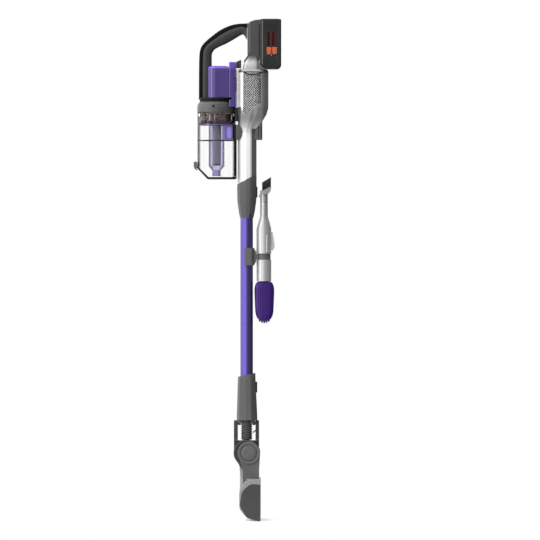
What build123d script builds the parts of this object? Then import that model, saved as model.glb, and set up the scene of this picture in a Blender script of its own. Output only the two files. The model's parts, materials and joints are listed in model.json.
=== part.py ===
from build123d import *
import os

# Cordless stick vacuum, as it hangs: the wand upright, the floor head hanging straight below it.
# +Z is up, -Y is the front (the dust bin's side), +Y the back (the battery's side), X runs left to right.
# The origin is under the middle of the machine, at its lowest edge. Lengths are in millimetres.

os.makedirs("parts", exist_ok=True)

# Driving dimensions
wand_y = 22.0  # axis of the wand, the nose duct and the neck
wand_width = 34.0
wand_depth = 30.0
wand_wall = 1.6
wand_top = 756.5
wand_bottom = 314.0
body_wall = 2.5
motor_y = 37.6  # axis of the motor, the fan and the exhaust filter
bin_y = -50.2  # axis of the dust bin
bin_r = 46.0
bin_wall = 2.2
bin_top = 979.0
bin_bottom = 817.0
battery_front = 53.1
battery_back = 104.9
battery_bottom = 1081.0
battery_top = 1201.0
battery_half = 39.0
tool_y = 63.3  # axis of the two accessories on the clip
tool_r = 17.8
tilt_y = 27.4  # the floor head tilts about this axis
tilt_z = 160.8
neck_seam = 236.5  # the neck turns in the yoke here
sole_y = 55.5
head_half = 126.0
roll_y = 34.0
roll_z = 32.5
roll_r = 20.5
gap = 0.3  # between pieces that move past each other


def facet_form(stations, corner, inset=0.0, shares=(0.12, 0.34)):
    """Solid through ten-sided, round-cornered sections, widest near the middle of their depth.
    A station is (height, width, front, back); corner is the corners' radius as a share of the
    width, inset moves every side inwards, and shares are how much of the depth the front and
    the back chamfers take."""
    with BuildPart() as form:
        for height, width, front, back in stations:
            depth = back - front
            half = width / 2 - inset
            flank = half - 0.03 * width
            near, far = front + inset, back - inset
            front_y, back_y = front + shares[0] * depth, back - shares[1] * depth
            side = [
                (0.32 * width, near),
                (flank, front_y),
                (half, front + 0.45 * depth),
                (flank, back_y),
                (0.24 * width, far),
            ]
            mirrored = [(-x, y) for x, y in reversed(side)]
            with BuildSketch(Plane.XY.offset(height)) as section:
                with BuildLine():
                    Polyline(*side, *mirrored, close=True)
                make_face()
                fillet(section.vertices(), corner * width)
        loft(ruled=True)
    return form.part


def wand_form(low, high, grow=0.0):
    """Length of the wand's section, made larger all round by grow."""
    front, back = wand_y - wand_depth / 2 - grow, wand_y + wand_depth / 2 + grow
    stations = [(z, wand_width + 2 * grow, front, back) for z in (low, high)]
    return facet_form(stations, 0.07, 0.0, (0.09, 0.18))


def slab(points, half_width):
    """Side outline of (y, z) points, as wide as twice half_width."""
    with BuildPart() as solid:
        with BuildSketch(Plane.YZ.offset(-half_width)):
            with BuildLine():
                Polyline(*points, close=True)
            make_face()
        extrude(amount=2 * half_width)
    return solid.part


def bar(outline, half_width):
    """A side outline already drawn, as wide as twice half_width."""
    with BuildPart() as solid:
        with BuildSketch(Plane.YZ.offset(-half_width)):
            add(outline)
        extrude(amount=2 * half_width)
    return solid.part


def block(x0, x1, y0, y1, z0, z1):
    """Box between two corners."""
    with BuildPart() as solid:
        with Locations(((x0 + x1) / 2, (y0 + y1) / 2, (z0 + z1) / 2)):
            Box(x1 - x0, y1 - y0, z1 - z0)
    return solid.part


def post(radius, y, z0, z1, x=0.0):
    """Upright cylinder."""
    with BuildPart() as solid:
        with BuildSketch(Plane.XY.offset(z0)):
            with Locations((x, y)):
                Circle(radius)
        extrude(amount=z1 - z0)
    return solid.part


def axle(radius, y, z, x0, x1):
    """Cylinder from left to right."""
    with BuildPart() as solid:
        with BuildSketch(Plane.YZ.offset(x0)):
            with Locations((y, z)):
                Circle(radius)
        extrude(amount=x1 - x0)
    return solid.part


def bolt(radius, x, z, y0, y1):
    """Cylinder from front to back."""
    with BuildPart() as solid:
        with BuildSketch(Plane.XZ.offset(-y1)):
            with Locations((x, z)):
                Circle(radius)
        extrude(amount=y1 - y0)
    return solid.part


def turned(points, y):
    """Solid turned about the upright axis at y, from (radius, height) points."""
    with BuildPart() as solid:
        with BuildSketch(Plane.XZ.offset(-y)):
            with BuildLine():
                Polyline(*points, close=True)
            make_face()
        revolve(axis=Axis((0, y, 0), (0, 0, 1)))
    return solid.part


def save(part, name):
    """Labels a finished piece and writes it as its own file."""
    part.label = name
    export_step(part, f"parts/{name}.step")


# ---------------------------------------------------------------- main body
body_stations = [
    (798.0, 45.0, 0.6, 45.6),
    (928.0, 45.0, 0.6, 45.6),
    (940.0, 50.0, 0.8, 48.4),
    (957.0, 62.0, 1.0, 60.5),
    (972.0, 75.0, 1.0, 69.5),
    (988.0, 83.0, 1.0, 74.0),
    (1000.0, 84.0, 1.0, 74.2),
    (1073.0, 84.0, 1.0, 74.2),
]
body_outside = facet_form(body_stations, 0.1)
body_inside = facet_form(body_stations, 0.07, body_wall)
grille_inside = facet_form(body_stations, 0.07, body_wall - 0.2)
grille_outside = facet_form(body_stations, 0.09, 0.7)

# The nose ends on a slanted seam, lower at the front, where the wand's collar begins
nose_seam_front = 804.5
nose_seam_back = 828.5


def seam_wedge(drop, low):
    """Everything under the nose's slanted seam, moved down by drop."""
    rise = (nose_seam_back - nose_seam_front) / 45.0
    front_z = nose_seam_front - 20 * rise - drop
    back_z = nose_seam_front + 80 * rise - drop
    return slab([(-20, low), (80, low), (80, back_z), (-20, front_z)], 60)


grille_outline = [(9.5, 1070), (59, 1070), (59, 999), (21.5, 969.5), (9.5, 981)]
grille_window = slab(grille_outline, 60)
core_window = block(-22, 22, -10, 90, 900, 1080)
nose_back_zone = block(-50, 50, 34, 80, 780, 938)
release_slot = block(-4.3, 4.3, -5, 9, 961, 984)
duct_z = 929.0
air_hole_z = 1045.0
gasket_outline = [(-1.6, 947), (5, 945), (10, 940), (12, 931), (10.5, 919), (6, 912.5), (-1.6, 911)]


def body_half(side):
    """One half of the silver main body; side is 1 for +X and -1 for -X."""
    with BuildPart() as half:
        add(body_outside)
        add(body_inside, mode=Mode.SUBTRACT)
        add(seam_wedge(0, 700), mode=Mode.SUBTRACT)
        add(bolt(14.5, 0, duct_z, -10, 15), mode=Mode.SUBTRACT)
        add(bolt(15.0, 0, air_hole_z, -10, 10), mode=Mode.SUBTRACT)
        add(grille_window - core_window, mode=Mode.SUBTRACT)
        add(nose_back_zone, mode=Mode.SUBTRACT)
        add(release_slot, mode=Mode.SUBTRACT)
        split(bisect_by=Plane.YZ, keep=Keep.TOP if side > 0 else Keep.BOTTOM)
    return half.part


save(body_half(-1), "body_shell_left")
save(body_half(1), "body_shell_right")

with BuildPart() as vent_grilles:
    add(grille_outside)
    add(grille_inside, mode=Mode.SUBTRACT)
    add(slab([(9.7, 1069.8), (58.8, 1069.8), (58.8, 999.1), (21.5, 969.8), (9.7, 981.1)], 60), mode=Mode.INTERSECT)
    add(block(-22.1, 22.1, -10, 90, 900, 1080), mode=Mode.SUBTRACT)
save(vent_grilles.part, "vent_grilles")

# The dome closes the motor body and carries the column
dome_stations = [
    (1073.0, 84.0, 1.0, 74.2),
    (1077.0, 83.0, 1.2, 73.6),
    (1080.7, 79.0, 3.0, 71.0),
]
cap_stations = [
    (1077.0, 72.0, 13.0, 52.4),
    (1088.0, 70.0, 13.5, 52.4),
    (1096.0, 64.0, 14.5, 52.4),
]
column_outline = [
    (15.6, 1096),
    (52.4, 1096),
    (52.4, 1199.6),
    (40.0, 1197.6),
    (28.0, 1193.4),
    (23.8, 1190.8),
    (23.8, 1112),
    (15.6, 1101),
]
with BuildPart() as motor_dome:
    add(facet_form(dome_stations, 0.1))
    add(facet_form(cap_stations, 0.09))
    with BuildSketch(Plane.YZ.offset(-30)):
        with BuildLine():
            ThreePointArc((15.5, 1092), (36, 1109.5), (52.4, 1101))
            Polyline((52.4, 1101), (52.4, 1085), (15.5, 1085), (15.5, 1092))
        make_face()
    extrude(amount=60)
    add(slab(column_outline, 27), mode=Mode.SUBTRACT)
    add(post(30, motor_y, 1072, 1076), mode=Mode.SUBTRACT)
    add(block(-20, 20, 22, 48, 1070, 1100), mode=Mode.SUBTRACT)
save(motor_dome.part, "motor_dome")

# ---------------------------------------------------------------- column and handle
screw_places = [(29.5, 1109), (47.5, 1109), (29.5, 1182), (47.5, 1182)]  # (y, z)
screw_shank_r = 1.5
screw_head_r = 3.2
with BuildPart() as column_housing:
    add(slab(column_outline, 27))
    front_edges = column_housing.edges().filter_by(Axis.Z).group_by(Axis.Y)[1]
    fillet(front_edges, 8)
    add(block(-24.5, 24.5, 26.4, 49.8, 1095, 1187), mode=Mode.SUBTRACT)
    add(block(-17, 17, 52.4, 56.6, 1112, 1186))
    for y, z in screw_places:
        add(axle(4.2, y, z, -25, -7))
        add(axle(screw_shank_r, y, z, -28, -6), mode=Mode.SUBTRACT)
        add(axle(screw_head_r, y, z, -28, -25), mode=Mode.SUBTRACT)
    add(block(-9.3, 9.3, 30.7, 47.3, 1185, 1201), mode=Mode.SUBTRACT)
save(column_housing.part, "column_housing")

with BuildPart() as body_screws:
    for y, z in screw_places:
        add(axle(screw_head_r, y, z, -27, -25))
        add(axle(screw_shank_r, y, z, -25, -8))
save(body_screws.part, "body_screws")

with BuildPart() as power_button:
    add(slab([(31, 1187.5), (47, 1187.5), (47, 1200.2), (31, 1196.0)], 9))
    fillet(power_button.edges().group_by(Axis.Z)[-1], 0.6)
save(power_button.part, "power_button")

with BuildPart() as control_board:
    add(block(-16, 16, 40, 41.6, 1114, 1176))
    add(block(-12, 2, 35, 40, 1120, 1134))
    add(block(5, 13, 34, 40, 1120, 1150))
    add(block(-13, -3, 37, 40, 1142, 1152))
    add(block(-8, 8, 41.6, 46, 1118, 1130))
save(control_board.part, "control_board")

dock_low = 1007.8
dock_high = 1012.2
grip_half = 16.0


def grip_form(grow, half_width):
    """The handle's outer shape, from its foot over the grip to the column, made larger by grow."""
    front, top = -92.4 - grow, 1190.4 + grow
    with BuildPart() as form:
        with BuildSketch(Plane.YZ.offset(-half_width)):
            with BuildLine():
                FilletPolyline((front, 990), (front, 1136 + 0.3 * grow), (-19.6, top), (34, top), radius=[42, 100])
                Polyline((34, top), (34, 990), (front, 990))
            make_face()
        extrude(amount=2 * half_width)
    return form.part


overmould_zone = slab([(-100, 1118), (-40, 1118), (17, 1160), (17, 1200), (-100, 1200)], 12)
with BuildPart() as grip_overmould:
    add(grip_form(0.9, 12))
    add(grip_form(-4.0, 13), mode=Mode.SUBTRACT)
    add(overmould_zone, mode=Mode.INTERSECT)
save(grip_overmould.part, "grip_overmould")

with BuildPart() as handle_frame:
    add(grip_form(0, grip_half))
    with BuildSketch(Plane.YZ.offset(-grip_half - 1)):
        with BuildLine():
            FilletPolyline(
                (-61.7, 980),
                (-61.7, 1128),
                (-30, 1140),
                (23.8, 1174),
                (23.8, 980),
                radius=[14, 80, 9.5],
            )
            Line((23.8, 980), (-61.7, 980))
        make_face()
    extrude(amount=2 * grip_half + 2, mode=Mode.SUBTRACT)
    fillet(handle_frame.faces().filter_by(Axis.X).edges(), 5)
    add(block(-30, 30, 23.8, 60, 900, 1300), mode=Mode.SUBTRACT)
    add(block(-60, 60, -130, 60, 900, dock_high - 1), mode=Mode.SUBTRACT)
    add(post(43, bin_y, dock_low, dock_high))
    add(block(-60, 60, -14, 60, 1000, 1020), mode=Mode.SUBTRACT)
    add(post(17, bin_y, 1000, 1020), mode=Mode.SUBTRACT)
    add(grip_overmould.part, mode=Mode.SUBTRACT)
save(handle_frame.part, "handle_frame")

# ---------------------------------------------------------------- filter housing
with BuildPart() as filter_cover:
    add(block(-36, 36, -71.3, -20.4, dock_high, 1088.4))
    corners = filter_cover.edges().filter_by(Axis.Z).group_by(Axis.Y)
    fillet(corners[0], 18)
    fillet(filter_cover.faces().sort_by(Axis.Z)[-1].edges(), 8)
    add(block(-33.8, 33.8, -60, -24.6, dock_high - 1, 1083), mode=Mode.SUBTRACT)
    add(block(-grip_half - 0.2, grip_half + 0.2, -95, -61.5, 1000, 1100), mode=Mode.SUBTRACT)
    add(bolt(15, 0, air_hole_z, -30, -10), mode=Mode.SUBTRACT)
save(filter_cover.part, "filter_cover")

with BuildPart() as pre_motor_filter:
    add(post(16.6, -42.0, dock_high, 1083))
    add(post(11.4, -42.0, dock_high - 1, 1078), mode=Mode.SUBTRACT)
save(pre_motor_filter.part, "pre_motor_filter")

with BuildPart() as filter_spine:
    add(block(-42, 42, -20.2, -3.8, 990, 1097.4))
    fillet(filter_spine.edges().filter_by(Axis.Z), 3)
    fillet(filter_spine.faces().sort_by(Axis.Z)[-1].edges(), 2.5)
    add(post(48, bin_y, 980, dock_low - 0.4), mode=Mode.SUBTRACT)
    add(block(-50, 50, -25, -14, dock_low - 0.5, dock_high), mode=Mode.SUBTRACT)
    add(bolt(18, 0, air_hole_z, -4, 0.9))
    add(bolt(15, 0, air_hole_z, -30, 5), mode=Mode.SUBTRACT)
save(filter_spine.part, "filter_spine")

with BuildPart() as mode_button:
    add(slab([(-3.4, 1083.2), (9, 1083.2), (9, 1104), (-3.4, 1098)], 14))
    fillet(mode_button.edges().filter_by(Axis.X).group_by(Axis.Z)[-1], 2)
save(mode_button.part, "mode_button")

# ---------------------------------------------------------------- ducts, motor and fan
duct_r = 17.5
duct_low = 764.0
with BuildPart() as inlet_duct:
    add(post(duct_r, wand_y + 1, duct_low, duct_z))
    with Locations((0, wand_y + 1, duct_z)):
        Sphere(duct_r)
    add(bolt(14.5, 0, duct_z, -1.5, wand_y))
    add(post(duct_r - 2, wand_y + 1, duct_low - 1, duct_z), mode=Mode.SUBTRACT)
    with Locations((0, wand_y + 1, duct_z)):
        Sphere(duct_r - 2, mode=Mode.SUBTRACT)
    add(bolt(12.5, 0, duct_z, -3, wand_y), mode=Mode.SUBTRACT)
save(inlet_duct.part, "inlet_duct")

with BuildPart() as inlet_gasket:
    add(slab(gasket_outline, 24.5))
    add(body_outside, mode=Mode.SUBTRACT)
    add(bolt(14.5, 0, duct_z, -3, 20), mode=Mode.SUBTRACT)
save(inlet_gasket.part, "inlet_gasket")

with BuildPart() as nose_back:
    add(block(-14, 14, 40, 59.6, 911, 956))
    fillet(nose_back.faces().sort_by(Axis.Y)[-1].edges().filter_by(Axis.Z), 3)
    add(body_outside, mode=Mode.SUBTRACT)
    add((body_outside - body_inside) & nose_back_zone)
    add(block(-10, 10, 48.2, 56.6, 905, 946), mode=Mode.SUBTRACT)
    add(seam_wedge(0, 700), mode=Mode.SUBTRACT)
save(nose_back.part, "nose_back")

with BuildPart() as motor_can:
    add(post(23, motor_y, 1010, 1040))
    add(post(17.5, motor_y, 1040, 1057))
    add(post(2.6, motor_y, 1000, 1060), mode=Mode.SUBTRACT)
save(motor_can.part, "motor_can")

with BuildPart() as exhaust_filter:
    add(post(31, motor_y, 990, 1068))
    add(post(27, motor_y, 989, 1069), mode=Mode.SUBTRACT)
save(exhaust_filter.part, "exhaust_filter")

with BuildPart() as impeller:
    add(turned([(0, 996), (7, 996), (20, 1003), (21.5, 1005), (0, 1005)], motor_y))
    with Locations((0, motor_y, 997)):
        with PolarLocations(12, 9):
            Box(15, 1.2, 12)
    add(post(2.5, motor_y, 986, 1058))
save(impeller.part, "impeller")

# ---------------------------------------------------------------- battery pack
def battery_profile(inset):
    """The pack's side outline, with its lower corners well rounded."""
    front, back = battery_front + inset, battery_back - inset
    low, high = battery_bottom + inset, battery_top - inset
    with BuildSketch() as outline:
        with BuildLine():
            FilletPolyline(
                (back - 8, high), (back, high - 1.5), (back, low), (front, low), (front, high - 1.5),
                (front + 8, high),
                radius=[2.5, 11 - inset, 22 - inset, 2.5],
            )
            Line((front + 8, high), (back - 8, high))
        make_face()
    return outline.sketch


with BuildPart() as pack_form:
    add(bar(battery_profile(0), battery_half))
    fillet(pack_form.faces().filter_by(Axis.X).edges(), 3.5)

battery_front_zone = block(-60, 60, 40, 60, 1000, 1300)
tongue_clear = 0.3
def latch_outline(grow):
    """The release button's face: square above, round below."""
    with BuildSketch() as outline:
        with Locations((82.3, 1123)):
            Rectangle(24.6 + 2 * grow, 20 + 2 * grow)
        fillet(outline.vertices().group_by(Axis.Y)[0], 8)
    return outline.sketch


with BuildPart() as battery_case:
    add(pack_form.part)
    add(bar(battery_profile(2.4), battery_half - 2.4) - battery_front_zone, mode=Mode.SUBTRACT)
    add(block(-17 - tongue_clear, 17 + tongue_clear, 40, 56.6 + tongue_clear, 1000, 1187), mode=Mode.SUBTRACT)
    add(bar(latch_outline(gap), 60), mode=Mode.SUBTRACT)
    for y in (74.5, 86.3):
        for side in (-1, 1):
            face_x = side * battery_half
            add(block(min(face_x, face_x - side), max(face_x, face_x - side), y - 3.4, y + 3.4, 1136, 1169),
                mode=Mode.SUBTRACT)
save(battery_case.part, "battery_case")

for side, name in ((-1, "battery_button_left"), (1, "battery_button_right")):
    with BuildPart() as battery_button:
        with BuildSketch(Plane.YZ.offset(side * 36.2)):
            add(latch_outline(0))
        extrude(amount=side * 3.8)
        with BuildSketch(Plane.YZ.offset(side * 35.0)):
            add(latch_outline(1.5))
        extrude(amount=side * 1.4)
    save(battery_button.part, name)

cell_r = 9.1
with BuildPart() as battery_cells:
    for y in (71.4, 90.2):
        for row in range(5):
            add(axle(cell_r, y, 1093.3 + 18.7 * row, -32.5, 32.5))
save(battery_cells.part, "battery_cells")

# ---------------------------------------------------------------- dust bin
def floor_line(lift):
    """The bin's underside, slanted up at the front, raised by lift."""
    return [(-112, 858.5 + lift), (-70.8, 816.5 + lift), (20, 816.5 + lift)]


def floor_layer(low, high):
    """What lies between two heights over the bin's underside."""
    return slab([*floor_line(low), *reversed(floor_line(high))], 60)


inner_r = bin_r - bin_wall
hinge_y = -3.8
hinge_z = 820.0
latch_pin = (-98.9, 854.0)  # y, z
with BuildPart() as bin_shell:
    add(post(bin_r, bin_y, 800, bin_top))
    add(slab([(-99.8, 850.5), (-90, 850.5), (-90, 859), (-99.8, 857)], 4))
    add(post(inner_r, bin_y, 799, bin_top + 1), mode=Mode.SUBTRACT)
    add(slab([*floor_line(7.0), (20, 780), (-112, 780)], 60), mode=Mode.SUBTRACT)
    add(bolt(13, 0, duct_z, bin_y + 30, 0), mode=Mode.SUBTRACT)
    add(axle(1.06, *latch_pin, -5, 5), mode=Mode.SUBTRACT)
save(bin_shell.part, "bin_shell")

collar_points = [
    (41.4, 972),
    (inner_r, 972),
    (inner_r, bin_top),
    (46.4, bin_top),
    (46.4, 990),
    (44.6, 998),
    (39.5, 1003.2),
    (31, 1005),
    (31, 1001),
    (37, 1001),
    (41.4, 994),
]
with BuildPart() as bin_collar:
    add(turned(collar_points, bin_y))
save(bin_collar.part, "bin_collar")

with BuildPart() as filter_basket:
    add(turned([(34, 957), (34, 1001), (31.2, 1001), (31.2, 961), (22, 961), (22, 957)], bin_y))
    with Locations((0, bin_y, 971)):
        with PolarLocations(33, 12):
            Box(8, 8, 8, mode=Mode.SUBTRACT)
save(filter_basket.part, "filter_basket")

cyclone_r = 19.0
with BuildPart() as cyclone_hood:
    hood_points = [(cyclone_r, 946), (30, 945), (39.5, 946.5), (40, 951), (37, 957), (cyclone_r, 957)]
    add(turned(hood_points, bin_y))
save(cyclone_hood.part, "cyclone_hood")

with BuildPart() as cyclone_tube:
    tube_points = [
        (cyclone_r, 957),
        (cyclone_r, 848),
        (10.4, 838),
        (10.4, 824),
        (8.4, 824),
        (8.4, 839),
        (17.4, 849.5),
        (17.4, 957),
    ]
    add(turned(tube_points, bin_y))
save(cyclone_tube.part, "cyclone_tube")

with BuildPart() as mesh_screen:
    add(turned([(8, 862), (8, 957), (17.4, 957), (17.4, 955.4), (9.2, 953), (6.8, 950), (6.8, 862)], bin_y))
save(mesh_screen.part, "mesh_screen")

with BuildPart() as inlet_chute:
    add(block(-16.5, 16.5, -35, 0, 911.5, 945.8))
    add(turned([(0, 945), (30, 945), (39.5, 946.5), (60, 946.5), (60, 960), (0, 960)], bin_y), mode=Mode.SUBTRACT)
    add(post(inner_r, bin_y, 900, 960), mode=Mode.INTERSECT)
    add(post(cyclone_r, bin_y, 900, 960), mode=Mode.SUBTRACT)
    add(block(-14, 30, -29.8, 10, 914, 942.5), mode=Mode.SUBTRACT)
save(inlet_chute.part, "inlet_chute")

with BuildPart() as bin_rail:
    add(block(-6, 6, -12, -2, 824, 912))
    add(block(-18.5, 18.5, -14, -2, 910.5, 948))
    add(block(-3.9, 3.9, -3.8, -2, 819, 826))
    add(axle(2.2, hinge_y, hinge_z, -3.9, 3.9))
    add(axle(1.1, hinge_y, hinge_z, -9.5, 9.5))
    add(post(bin_r, bin_y, 823.5, 960), mode=Mode.SUBTRACT)
    add(bolt(13, 0, duct_z, -20, 0), mode=Mode.SUBTRACT)
save(bin_rail.part, "bin_rail")

with BuildPart() as bin_door:
    add(post(bin_r, bin_y, 800, 900))
    add(floor_layer(0, 6.7), mode=Mode.INTERSECT)
    with BuildPart(mode=Mode.SUBTRACT):
        add(post(inner_r - 2.2, bin_y, 790, 910))
        add(floor_layer(2.4, 12), mode=Mode.INTERSECT)
    add(block(-9.5, 9.5, hinge_y - 4, hinge_y, 818, 822))
    add(axle(2.2, hinge_y, hinge_z, -9.5, 9.5))
    add(axle(1.15, hinge_y, hinge_z, -10, 10), mode=Mode.SUBTRACT)
    add(axle(2.7, hinge_y, hinge_z, -4.2, 4.2), mode=Mode.SUBTRACT)
save(bin_door.part, "bin_door")

with BuildPart() as bin_latch:
    latch_points = [
        (-105, 858),
        (-101, 859.5),
        (-98.6, 859),
        (-96.6, 856),
        (-96.6, 846.5),
        (-98.4, 843),
        (-95.6, 839.5),
        (-97.4, 837.8),
        (-102.6, 841.5),
        (-105, 847),
    ]
    add(slab(latch_points, 9))
    add(block(-4.4, 4.4, -100.6, -90, 849.8, 862), mode=Mode.SUBTRACT)
    add(axle(1.0, *latch_pin, -6, 6))
save(bin_latch.part, "bin_latch")

with BuildPart() as bin_release:
    add(block(-25, 25, -6.5, 6.5, 956, 988.6))
    fillet(bin_release.edges().filter_by(Axis.Z), 2)
    add(post(47.2, bin_y, 950, 1000), mode=Mode.SUBTRACT)
    add(facet_form(body_stations, 0.1, -0.4), mode=Mode.SUBTRACT)
    add(block(-4, 4, -3, 6.8, 966, 983.6))
save(bin_release.part, "bin_release")

# ---------------------------------------------------------------- wand
collar_stations = [
    (724.0, 36.4, 5.8, 38.2),
    (742.0, 41.0, 2.6, 42.0),
    (766.0, 44.6, -0.4, 45.2),
    (790.0, 45.4, -0.8, 45.8),
    (832.0, 45.4, -0.8, 45.8),
]
catch_z = 786.0
with BuildPart() as wand_collar:
    add(facet_form(collar_stations, 0.1))
    add(slab([(-20, 793.4), (80, 846.7), (80, 900), (-20, 900)], 60), mode=Mode.SUBTRACT)
    add(wand_form(720, wand_top), mode=Mode.SUBTRACT)
    add(post(duct_r + 0.35, wand_y + 1, wand_top - 0.5, 840), mode=Mode.SUBTRACT)
    add(block(-7.3, 7.3, 42.4, 60, catch_z - 13.3, catch_z + 13.3), mode=Mode.SUBTRACT)
    for x in (-6, 6):
        add(post(1.1, 43.4, 816, 825, x))
save(wand_collar.part, "wand_collar")

with BuildPart() as wand_catch:
    add(block(-7, 7, 45.0, 48.0, catch_z - 13, catch_z + 13))
    fillet(wand_catch.faces().sort_by(Axis.Y)[-1].edges(), 1.2)
    add(block(-5, 5, 44.6, 46, catch_z - 10, catch_z + 10))
save(wand_catch.part, "wand_catch")

with BuildPart() as wand_tube:
    add(wand_form(wand_bottom, wand_top))
    add(wand_form(wand_bottom - 1, wand_top + 1, -wand_wall), mode=Mode.SUBTRACT)
save(wand_tube.part, "wand_tube")

# ---------------------------------------------------------------- clip and accessories
clip_low = 610.0
clip_high = 652.0
ring_low = 624.0
ring_high = 638.0
peg_r = 14.6
bridge_outline = [
    (36, 613),
    (41, 613),
    (44.8, 619),
    (44.8, ring_low),
    (50, ring_low),
    (50, ring_high),
    (44.8, ring_high),
    (44.8, 643),
    (41, 649),
    (36, 649),
]
with BuildPart() as tool_clip:
    add(wand_form(clip_low, clip_high, 3.6))
    add(slab(bridge_outline, 11))
    add(post(16.1, tool_y, ring_low, ring_high))
    add(wand_form(clip_low - 1, clip_high + 1, 0.4), mode=Mode.SUBTRACT)
    add(block(-60, 60, -50, 16.8, 600, 700), mode=Mode.SUBTRACT)
    add(post(peg_r, tool_y, 598, 664))
    add(post(peg_r - 2.4, tool_y, 590, 670), mode=Mode.SUBTRACT)
save(tool_clip.part, "tool_clip")

nozzle_stations = [
    (692.0, 17.6, 17.4),
    (701.0, 17.5, 17.0),
    (712.0, 17.2, 14.0),
    (728.0, 16.4, 9.6),
    (790.0, 16.0, 9.2),
]


def nozzle_form(grow):
    """The crevice nozzle's flattened length, made larger by grow."""
    with BuildPart() as form:
        for height, half_x, half_y in nozzle_stations:
            with BuildSketch(Plane.XY.offset(height)):
                with Locations((0, tool_y)):
                    Ellipse(half_x + grow, half_y + grow)
        loft(ruled=True)
    return form.part


with BuildPart() as crevice_nozzle:
    add(post(tool_r, tool_y, ring_high + 0.4, 698))
    add(nozzle_form(0))
    add(slab([(51.6, 774), (56, 772), (56, 781), (51.6, 780)], 5))
    add(nozzle_form(-2.2), mode=Mode.SUBTRACT)
    add(post(tool_r - 2.2, tool_y, 600, 694), mode=Mode.SUBTRACT)
    add(block(-5.4, 5.4, 76, 92, 643, 694), mode=Mode.SUBTRACT)
    add(block(-7.5, 7.5, 78.4, 80.2, 641, 696))
    add(block(-3.2, 3.2, 78.4, 82.4, 660, 676))
save(crevice_nozzle.part, "crevice_nozzle")

with BuildPart() as nozzle_slider:
    add(slab([(80.6, 645.6), (84, 645.6), (89, 652), (89, 662), (86.6, 676), (84, 691), (80.6, 691)], 5.1))
    add(block(-3.6, 3.6, 80, 82.8, 650, 686), mode=Mode.SUBTRACT)
save(nozzle_slider.part, "nozzle_slider")

with BuildPart() as dusting_collar:
    add(slab([(58.4, 781), (73, 781), (79.8, 789), (81, 799.4), (58.4, 788.6)], 20))
    fillet(dusting_collar.edges().filter_by(Axis.Z), 3)
    with BuildSketch(Plane.XY.offset(700)):
        with Locations((0, tool_y)):
            Ellipse(16.9, 10.1)
    extrude(amount=200, mode=Mode.SUBTRACT)
save(dusting_collar.part, "dusting_collar")

with BuildPart() as dusting_bristles:
    add(slab([(58.9, 788.9), (80.4, 799.2), (80.4, 822), (58.9, 809)], 19.6))
    add(slab([(50, 780), (74.5, 780), (74.5, 830), (50, 830)], 17), mode=Mode.SUBTRACT)
save(dusting_bristles.part, "dusting_bristles")

pet_y = 64.4
with BuildPart() as pet_tube:
    add(post(tool_r - 0.2, tool_y, 572, ring_low - 0.4))
    add(post(tool_r - 2.2, tool_y, 571, ring_low), mode=Mode.SUBTRACT)
save(pet_tube.part, "pet_tube")


def paddle(grow, low, half_width):
    """The pet tool's paddle: wider above, rounded below, as wide as twice half_width."""
    half_top, half_widest, half_low = 21 + grow, 23.8 + grow, 20.5 + grow
    side = [(half_low, low), (half_widest, 552), (half_top, 572 + grow)]
    points = [(pet_y + y, z) for y, z in side] + [(pet_y - y, z) for y, z in reversed(side)]
    with BuildSketch() as outline:
        with BuildLine():
            Polyline(*points, close=True)
        make_face()
        fillet(outline.vertices().group_by(Axis.Y)[0], 14)
        fillet(outline.vertices().group_by(Axis.Y)[-1], 4)
    return bar(outline.sketch, half_width)


with BuildPart() as pet_cover:
    add(paddle(0, 478, 15))
    fillet(pet_cover.faces().filter_by(Axis.X).edges(), 3)
    add(paddle(-3, 470, 12), mode=Mode.SUBTRACT)
    add(post(11.5, tool_y, 540, 600), mode=Mode.SUBTRACT)
save(pet_cover.part, "pet_cover")

with BuildPart() as pet_pad:
    add(paddle(-3, 471, 12))
    add(block(-60, 60, 0, 120, 500, 700), mode=Mode.SUBTRACT)
save(pet_pad.part, "pet_pad")

# ---------------------------------------------------------------- neck
steer_z = 232.0
hose_r = 14.0
neck_stations = [
    (239.0, 46.0, -1.9, 47.8),
    (262.0, 45.0, -1.4, 47.0),
    (334.0, 42.0, 0.7, 43.4),
    (362.0, 41.0, 1.4, 42.6),
]
neck_catch_z = 318.0
with BuildPart() as neck_collar:
    add(facet_form(neck_stations, 0.1, 0.0, (0.1, 0.3)))
    with BuildPart():
        add(block(-11, 11, 1.2, 42.8, 232, 240))
        add(bolt(5.2, 0, steer_z, 1.2, 42.8))
    add(bolt(2.5, 0, steer_z, -8.4, 51.6))
    add(slab([(-20, 338), (80, 360), (80, 400), (-20, 400)], 60), mode=Mode.SUBTRACT)
    add(wand_form(wand_bottom - 0.4, 400, 0.35), mode=Mode.SUBTRACT)
    add(post(hose_r + 0.4, wand_y, 200, 400), mode=Mode.SUBTRACT)
    add(block(-7.3, 7.3, 40.2, 60, neck_catch_z - 13.3, neck_catch_z + 13.3), mode=Mode.SUBTRACT)
save(neck_collar.part, "neck_collar")

with BuildPart() as neck_catch:
    add(block(-7, 7, 42.6, 47.4, neck_catch_z - 13, neck_catch_z + 13))
    fillet(neck_catch.faces().sort_by(Axis.Y)[-1].edges(), 1.2)
save(neck_catch.part, "neck_catch")

hose_low = 192.0
hose_high = 246.0
with BuildPart() as neck_hose:
    hose_points = [(hose_r - 2.4, hose_low)]
    ribs = 14
    pitch = (hose_high - hose_low) / ribs
    for rib in range(ribs):
        base = hose_low + rib * pitch
        hose_points += [(hose_r - 1.4, base), (hose_r, base + 0.3 * pitch), (hose_r, base + 0.7 * pitch)]
    hose_points += [(hose_r - 1.4, hose_high), (hose_r - 2.4, hose_high)]
    add(turned(hose_points, wand_y))
save(neck_hose.part, "neck_hose")

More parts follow.
